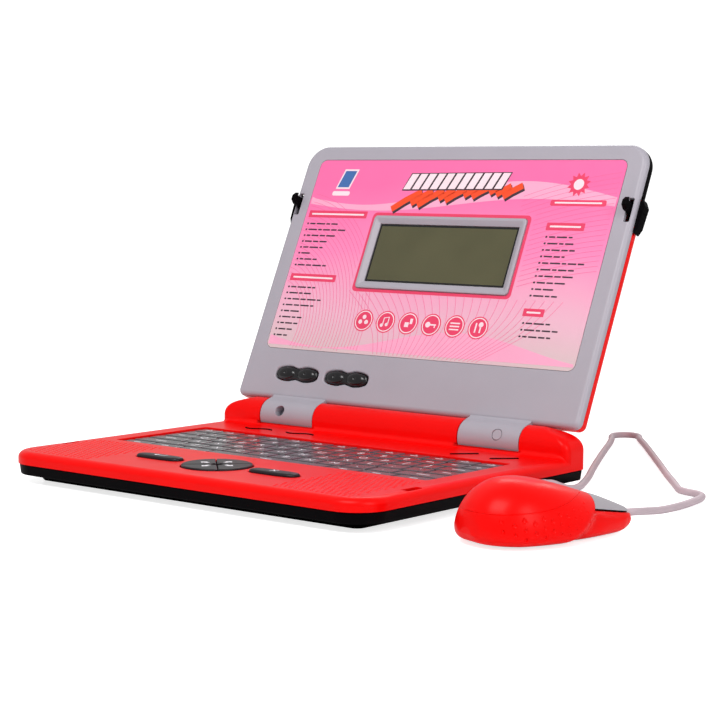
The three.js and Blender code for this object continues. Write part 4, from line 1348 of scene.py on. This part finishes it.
def title_blocks():
    """Plain slanted blocks and their shadows, where a title would be."""
    blocks, shadows = [], []
    lean = 4.4
    for i in range(11):
        x = -44 + 7.2 * i
        low, high = 160.5 + 0.1 * i, 171.5 + 0.1 * i
        shape = [(x, low), (x + 5.6, low), (x + 5.6 + lean, high), (x + lean, high)]
        blocks.append(shape)
        shadows.append([(a + 0.9 if k in (1, 2) else a - 0.7, b - 0.9 if k < 2 else b + 0.6)
                        for k, (a, b) in enumerate(shape)])
    return blocks, shadows


def title_streaks():
    """A group of slanted streaks and their shadows, under the blocks."""
    streaks, shadows = [], []
    for i, length in enumerate((19, 13, 16, 9, 12, 7, 9, 5, 8, 11)):
        x, rise = -30 + 8.6 * i, 0.55 * i
        line = [(x - length, 158 - length * 0.62 + rise),
                (x - length * 0.5, 158 - length * 0.28 + rise), (x + 2, 159 + rise)]
        streaks.append(stroke(line, 4.6))
        shadows.append(stroke([(a + 1.2, b - 1.3) for a, b in line], 5.0))
    return streaks, shadows


def icon_symbols():
    """Simple white marks for the six round icons, about their own centres."""
    note = [stroke([(-1.6, -2.4), (-1.6, 2.6), (2.2, 3.2), (2.2, -1.6)], 0.8),
            circle(1.2, 16, (-2.4, -2.4)), circle(1.2, 16, (1.4, -1.8))]
    dots = [circle(1.5, 18, place) for place in ((-2.4, -1), (2.4, -1), (0, 2.4))]
    cube = [box_outline(-2.6, 0.6, -2.6, 0.6), box_outline(1.2, 3.2, -0.4, 3.2)]
    key = [circle(1.9, 20, (-2.4, 0)), box_outline(-0.6, 4, -0.5, 0.5), box_outline(2.6, 3.5, -1.9, -0.4)]
    page = [box_outline(-3.6, 3.6, y, y + 0.9) for y in (-2.6, -0.5, 1.6)]
    tools = [stroke([(-1.8, -3.2), (-1.8, 3.2)], 1.1), stroke([(1.8, -3.2), (1.8, 1.2)], 1.1),
             circle(1.7, 20, (1.8, 2.2))]
    return [dots, note, cube, key, page, tools]


def list_bars(x, top, widths, pitch=4.3):
    """Plain broken bars that stand for lines of small print."""
    bars = []
    for i, width in enumerate(widths):
        y = top - pitch * i
        bars.append(bar(x + 0.7, y, 0.7, 0.6, 0.3, steps=2))
        start = x + 2.6
        end = start + width
        k = i
        while start < end - 2:
            word = min((4.6, 7.4, 3.2, 6.0)[k % 4], end - start)
            bars.append(bar(start + word / 2, y, word / 2, 0.5, 0.3, steps=2))
            start += word + 1.1
            k += 1
    return bars


def star(x, y, radii, points):
    """Outline with points that lie on two radii in turn."""
    angles = [2 * math.pi * i / points for i in range(points)]
    return [(x + radii[i % 2] * math.cos(a), y + radii[i % 2] * math.sin(a)) for i, a in enumerate(angles)]


def make_artwork():
    """The print, one thin solid for each colour and layer; higher layers lie on lower ones."""
    outline_ring = prism(screen_outline(7.6, 3.2), PANEL_TOP - 0.02, PANEL_TOP + 0.05)
    cut(outline_ring, prism(screen_outline(SCREEN["frame"] + GAP + 0.02, 2.7), 0, 5))
    publish(outline_ring, "print_screen_outline", "lid", CRIMSON, matrix=lid_frame)
    blocks, block_shadows = title_blocks()
    streaks, streak_shadows = title_streaks()
    icon_places = [(x, 68.1) for x in (-45, -27.2, -9, 9, 27.2, 45)]
    icon_discs = [[circle(radius, 40, place) for place in icon_places] for radius in (7.5, 6.7, 6.0)]
    marks = [shifted(shape, *place) for place, shapes in zip(icon_places, icon_symbols())
             for shape in shapes]
    headers = [(-117.8, -67.8, 141.7), (-117.5, -78.4, 95.7), (74.7, 102.1, 136.8), (74.6, 89.7, 80.2)]
    bars = list_bars(-117, 134.6, (24, 32, 27, 19, 17, 9, 15, 25))
    bars += list_bars(-117, 88.6, (21, 20, 29, 24, 15, 17, 15, 13, 9))
    bars += list_bars(76, 129.8, (17, 19, 21, 15, 30, 24, 26, 22, 14, 17))
    bars += list_bars(76, 73.2, (19, 24, 20))
    picture_screen = [(-100, 161.5), (-90.5, 161.5), (-87, 173.5), (-96.5, 173.5)]
    picture_border = [(-101.3, 160.3), (-89.6, 160.3), (-85.4, 174.7), (-97.5, 174.7)]
    picture_foot = bar(-95.5, 157, 7.5, 1.6, 1.4, steps=4)
    badge = (90, 165)
    layers = [
        ("waves", WAVE, 0, broad_waves()),
        ("line_art", ROSE, 1, line_art()),
        ("streak_shadows", DARK, 2, streak_shadows),
        ("streaks", ORANGE, 3, streaks),
        ("block_shadows", DARK, 4, block_shadows),
        ("blocks", PALE, 5, blocks),
        ("icon_rings", CRIMSON, 2, icon_discs[0]),
        ("icon_gaps", PALE, 3, icon_discs[1]),
        ("icon_discs", CRIMSON, 4, icon_discs[2]),
        ("icon_marks", PALE, 5, marks),
        ("headers", CRIMSON, 2, [
            rounded_box(x0, x1, y - 2.5, y + 2.5, 0.4, steps=2) for x0, x1, y in headers]),
        ("header_bars", PALE, 3, [
            rounded_box(x0 + 2.5, x1 - 2.5, y - 0.6, y + 0.6, 0.4, steps=2) for x0, x1, y in headers]),
        ("list_bars", DARK, 2, bars),
        ("picture_border", PALE, 2, [picture_border, picture_foot]),
        ("picture_screen", BLUE, 3, [picture_screen]),
        ("burst", CRIMSON, 2, [star(*badge, (5.6, 8.2), 24), bar(93, 152.6, 20, 2, 1.2, steps=3)]),
        ("burst_centre", PALE, 3, [circle(3.6, 32, badge), bar(93, 152.65, 17, 0.55, 0.5, steps=2)]),
    ]
    for name, material, layer, outlines in layers:
        film = prisms(outlines, PANEL_TOP - 0.02, PANEL_TOP + 0.03 * (layer + 1))
        publish(film, f"print_{name}", "lid", material, matrix=lid_frame)


make_bezel()
make_artwork_sheet()
make_screen()
make_rockers()
make_latches()
make_lid_back()
make_hinge_covers()
make_artwork()

# ------------------------------------------------------------------ mouse

# Places along the mouse from tail to nose, with half width and height at each.
STATIONS = [
    (-47, 6, 9.5), (-45.5, 12, 15.5), (-41.5, 18.8, 22.5), (-34, 24.2, 28.6), (-24, 27.6, 31.8),
    (-10, 28.6, 31), (8, 26.6, 26.2), (20, 22.6, 22.4), (30, 18.4, 19.4), (38, 15.2, 16.4),
    (45, 12.4, 13.6), (48.8, 9.6, 12), (50, 6.5, 11.2),
]
# Height of the underside at places along the mouse.
KEEL = [(-47, 6.0), (-45.8, 3.2), (-43, 1.7), (-38, 0.8), (-32, 0.25), (-27, 0), (36, 0),
        (40, 0.2), (44, 0.8), (46.5, 1.9), (48.5, 3.8), (50, 6.2)]
# Height of the crease that parts the smooth dome from the dotted sides.
CREASE = [(-47, 16.8), (-38, 17.0), (-28, 17.6), (-15, 18.4), (-8, 19.4), (-1, 20.6), (8, 22.4), (20, 23.4)]
BULGE = 2.3                     # power of the round upper section
FLOOR_TOP = 3.7                 # where the mouse's bottom shell ends
SEAM = 0.02                     # between its two shells
BUTTON_FOOT = (16.3, 14.8)      # rear lower corner of the buttons, along and up
BUTTON_LEAN, CHEEK_FALL = 0.95, 0.175
PRESS_ROOM = 0.9                # between the buttons and the shell under them
CORD_Z = 8                      # height at which the cord leaves the nose
TAIL, NOSE = STATIONS[0][0], STATIONS[-1][0]


def smooth_value(table, column, x):
    """Cubic curve through one column of a table of stations."""
    xs = [row[0] for row in table]
    ys = [row[column] for row in table]
    x = min(max(x, xs[0]), xs[-1])
    i = min(max(np.searchsorted(xs, x) - 1, 0), len(xs) - 2)

    def slope(k):
        a, b = max(k - 1, 0), min(k + 1, len(xs) - 1)
        return (ys[b] - ys[a]) / (xs[b] - xs[a])

    width = xs[i + 1] - xs[i]
    t = (x - xs[i]) / width
    return (ys[i] * (1 - t) ** 2 * (1 + 2 * t) + ys[i + 1] * t * t * (3 - 2 * t)
            + slope(i) * width * t * (1 - t) ** 2 - slope(i + 1) * width * t * t * (1 - t))


def rise(value):
    """0 below 0, 1 above 1, and a smooth rise between."""
    value = min(max(value, 0), 1)
    return value * value * (3 - 2 * value)


def waist_dent(x, z):
    """How much the sides draw in ahead of the swoosh, for a hand to grip."""
    line = -7 + 22.5 * (max(z - 1, 0) / 14) ** 0.8
    ahead = x - line
    strength = rise(ahead / 8) * math.exp(-max(ahead - 12, 0) / 24)
    limit = BUTTON_FOOT[1] - CHEEK_FALL * (x - BUTTON_FOOT[0])
    return 0.15 * strength * (1 - rise((z - limit + 3.2) / 3.0))


def side_of_mouse(x, z, shrink=0.0):
    """Half width of the mouse at a place and a height."""
    half = smooth_value(STATIONS, 1, x) - shrink
    height = smooth_value(STATIONS, 2, x) - shrink
    share = min(max(z / height, 0), 1)
    return half * (1 - share ** BULGE) ** (1 / BULGE) * (1 - waist_dent(x, z))


def mouse_ring(x, shrink):
    """One closed section of the mouse: round top, tucked lower corners and flat underside."""
    height = smooth_value(STATIONS, 2, x) - shrink
    keel = smooth_value(KEEL, 1, x) + 0.95 * shrink
    wide = max(min(keel + 6.5, height * 0.55), keel + 0.6)
    start = math.asin(min((wide / height) ** (BULGE / 2), 1))
    ring = []
    for k in range(45):
        angle = start + (math.pi - 2 * start) * k / 44
        z = height * math.sin(angle) ** (2 / BULGE)
        ring.append((x, math.copysign(side_of_mouse(x, z, shrink), math.cos(angle)), z))
    foot = side_of_mouse(x, wide, shrink)
    corner = []
    for k in range(1, 12):
        angle = math.pi / 2 * k / 12
        z = wide - (wide - keel) * math.sin(angle) ** 0.62
        y = foot * math.cos(angle) ** 0.55 * (1 - waist_dent(x, z) + waist_dent(x, wide))
        corner.append((y, z))
    return ring + [(x, -y, z) for y, z in corner] + [(x, y, z) for y, z in reversed(corner)]


def mouse_skin(shrink=0.0, fine=True):
    """The mouse's whole body, or its inside if it is shrunk by one wall."""
    first, last = TAIL + 2 * shrink, NOSE - shrink
    count = 110 if fine else 44
    rings = [mouse_ring(first + (last - first) * (0.5 - 0.5 * math.cos(math.pi * i / count)), shrink)
             for i in range(count + 1)]

    def narrowed(ring, factor, push):
        middle = sum(z for _, _, z in ring) / len(ring)
        return [(x + push, y * factor, middle + (z - middle) * factor) for x, y, z in ring]

    if fine:
        rings = [narrowed(rings[0], 0.72, -0.02)] + rings + [narrowed(rings[-1], 0.82, 0.02)]
    return loft(rings)


def button_zone(lift, back):
    """Where the buttons are: ahead of a leaning line and above the falling line of the cheeks."""
    foot_x, foot_z = BUTTON_FOOT
    section = [
        (foot_x + back, foot_z + lift), (60, foot_z + lift - CHEEK_FALL * (60 - foot_x)), (60, 50),
        (foot_x + back + BUTTON_LEAN * (50 - foot_z - lift), 50)]
    return loft([[(x, y, z) for x, z in section] for y in (40, -40)])


def crease_cutter():
    """Fine round groove from the buttons' rear edge along one side, round the tail and back."""
    side = []
    for x in np.linspace(14, -43.6, 64):
        z = smooth_value(CREASE, 1, x)
        if z < smooth_value(STATIONS, 2, x) - 1.0:
            side.append(Vector((x, side_of_mouse(x, z), z)))
    end = side[-1]
    tail = [Vector((end.x - 1.2 * math.cos(a), end.y * math.sin(a), end.z))
            for a in np.linspace(math.pi / 2, -math.pi / 2, 14)[1:-1]]
    other = [Vector((p.x, -p.y, p.z)) for p in reversed(side)]
    return loft(tube_rings(side + tail + other, 0.34, 10))


def drop_pit(x, z, side, size, radius):
    """Rings of one drop-shaped pit, square to the mouse's side."""
    def on_side(x, z):
        return Vector((x, side * side_of_mouse(x, z), z))

    at = on_side(x, z)
    along = (on_side(x + 1, z) - at).normalized()
    up = (on_side(x, z + 1) - at).normalized()
    out = along.cross(up).normalized()
    if out.y * side < 0:
        out = -out
    rings = []
    for share, depth in ((0.3, -0.8), (0.72, -0.5), (1.0, 0.06), (1.15, 0.9)):
        ring = []
        for a in (2 * math.pi * k / 12 for k in range(12)):
            stretch = 1.55 if math.sin(a) > 0 else 1.0
            narrow = 1 - 0.35 * max(math.sin(a), 0)
            ring.append(at + out * depth * size
                        + along * (radius * share * math.cos(a) * narrow)
                        + up * (radius * share * math.sin(a) * stretch))
        rings.append(ring)
    return rings


def drop_pits():
    """Drop-shaped pits in loose columns along both sides, largest in the middle."""
    pits = []
    for column in range(11):
        x = -39 + 4.9 * column
        size = 1 - 0.6 * abs(x + 27) / 40
        highest = smooth_value(CREASE, 1, x) - 3.4
        for row in range(3):
            z = highest - row * 4.4 - (1.9 if column % 2 else 0)
            if z < 5.0 or (x > 2 and z < 9):
                continue
            pits += [drop_pit(x, z, side, size, 1.5 * size * (1 - 0.2 * row)) for side in (1, -1)]
    return lofts(pits)


def make_mouse():
    body = mouse_skin()
    cavity = mouse_skin(WALL, fine=False)
    shell = cut(copy_of(body), copy_of(cavity))
    for name, side in (("mouse_left", 1), ("mouse_right", -1)):
        low, high = across(side, 0.25, 40)
        button = keep_inside(copy_of(shell), button_zone(PRESS_ROOM, 0.45 + BUTTON_LEAN * PRESS_ROOM),
                             block(-60, 60, low, high, 0, 60))
        cut(button, rod(40, 60, 3.9, 32, z=CORD_Z))
        dress(button, f"{name}_button", f"{name}_click", MOUSE_GREY, matrix=mouse_frame, sharp=35)
    top = cut(copy_of(shell), block(-60, 60, -40, 40, -1, FLOOR_TOP + SEAM), button_zone(0, 0),
              rod(40, 60, 3.0, 32, z=CORD_Z), crease_cutter(), drop_pits())
    discard(shell)
    dress(top, "mouse_top_shell", "mouse", RED, matrix=mouse_frame, sharp=35)
    plate = keep_inside(body, block(-60, 60, -40, 40, -1, FLOOR_TOP))
    pocket = keep_inside(cavity, block(-44, 44, -40, 40, WALL, 20))
    post = turned([(3.6, 1), (3.6, FLOOR_TOP)], 28, MOUSE_SCREW)
    window = prism(bar(0, 0, 8, 6, 3), -1, 6)
    well = turned([(3.1, -1), (2.8, 0.4), (2.8, 1.9)], 28, MOUSE_SCREW)
    bore = turned([(1.5, -1), (1.5, 6)], 16, MOUSE_SCREW)
    bottom = cut(unite(cut(plate, pocket), post), window, well, bore)
    dress(bottom, "mouse_bottom_shell", "mouse", RED, matrix=mouse_frame, sharp=35)


make_mouse()

# ------------------------------------------------------------------ pieces kept from the frame


def keep_frame_pieces():
    """Gives every piece still shown as packed its own material."""
    looks = {
        "main_circuit_board": BOARD, "lid_circuit_board": BOARD, "mouse_circuit_board": BOARD,
        "speaker": BLACK, "mouse_socket": BLACK, "mouse_cord_grommet": BLACK,
        "hinge_pin_left": STEEL, "hinge_pin_right": STEEL, "mouse_lens": LENS,
        "battery_1": CELL, "battery_2": CELL, "battery_3": CELL, "battery_4": CELL,
    }
    for name, material in looks.items():
        node = frame["nodes"][name]
        node.data.materials.clear()
        node.data.materials.append(material)


keep_frame_pieces()
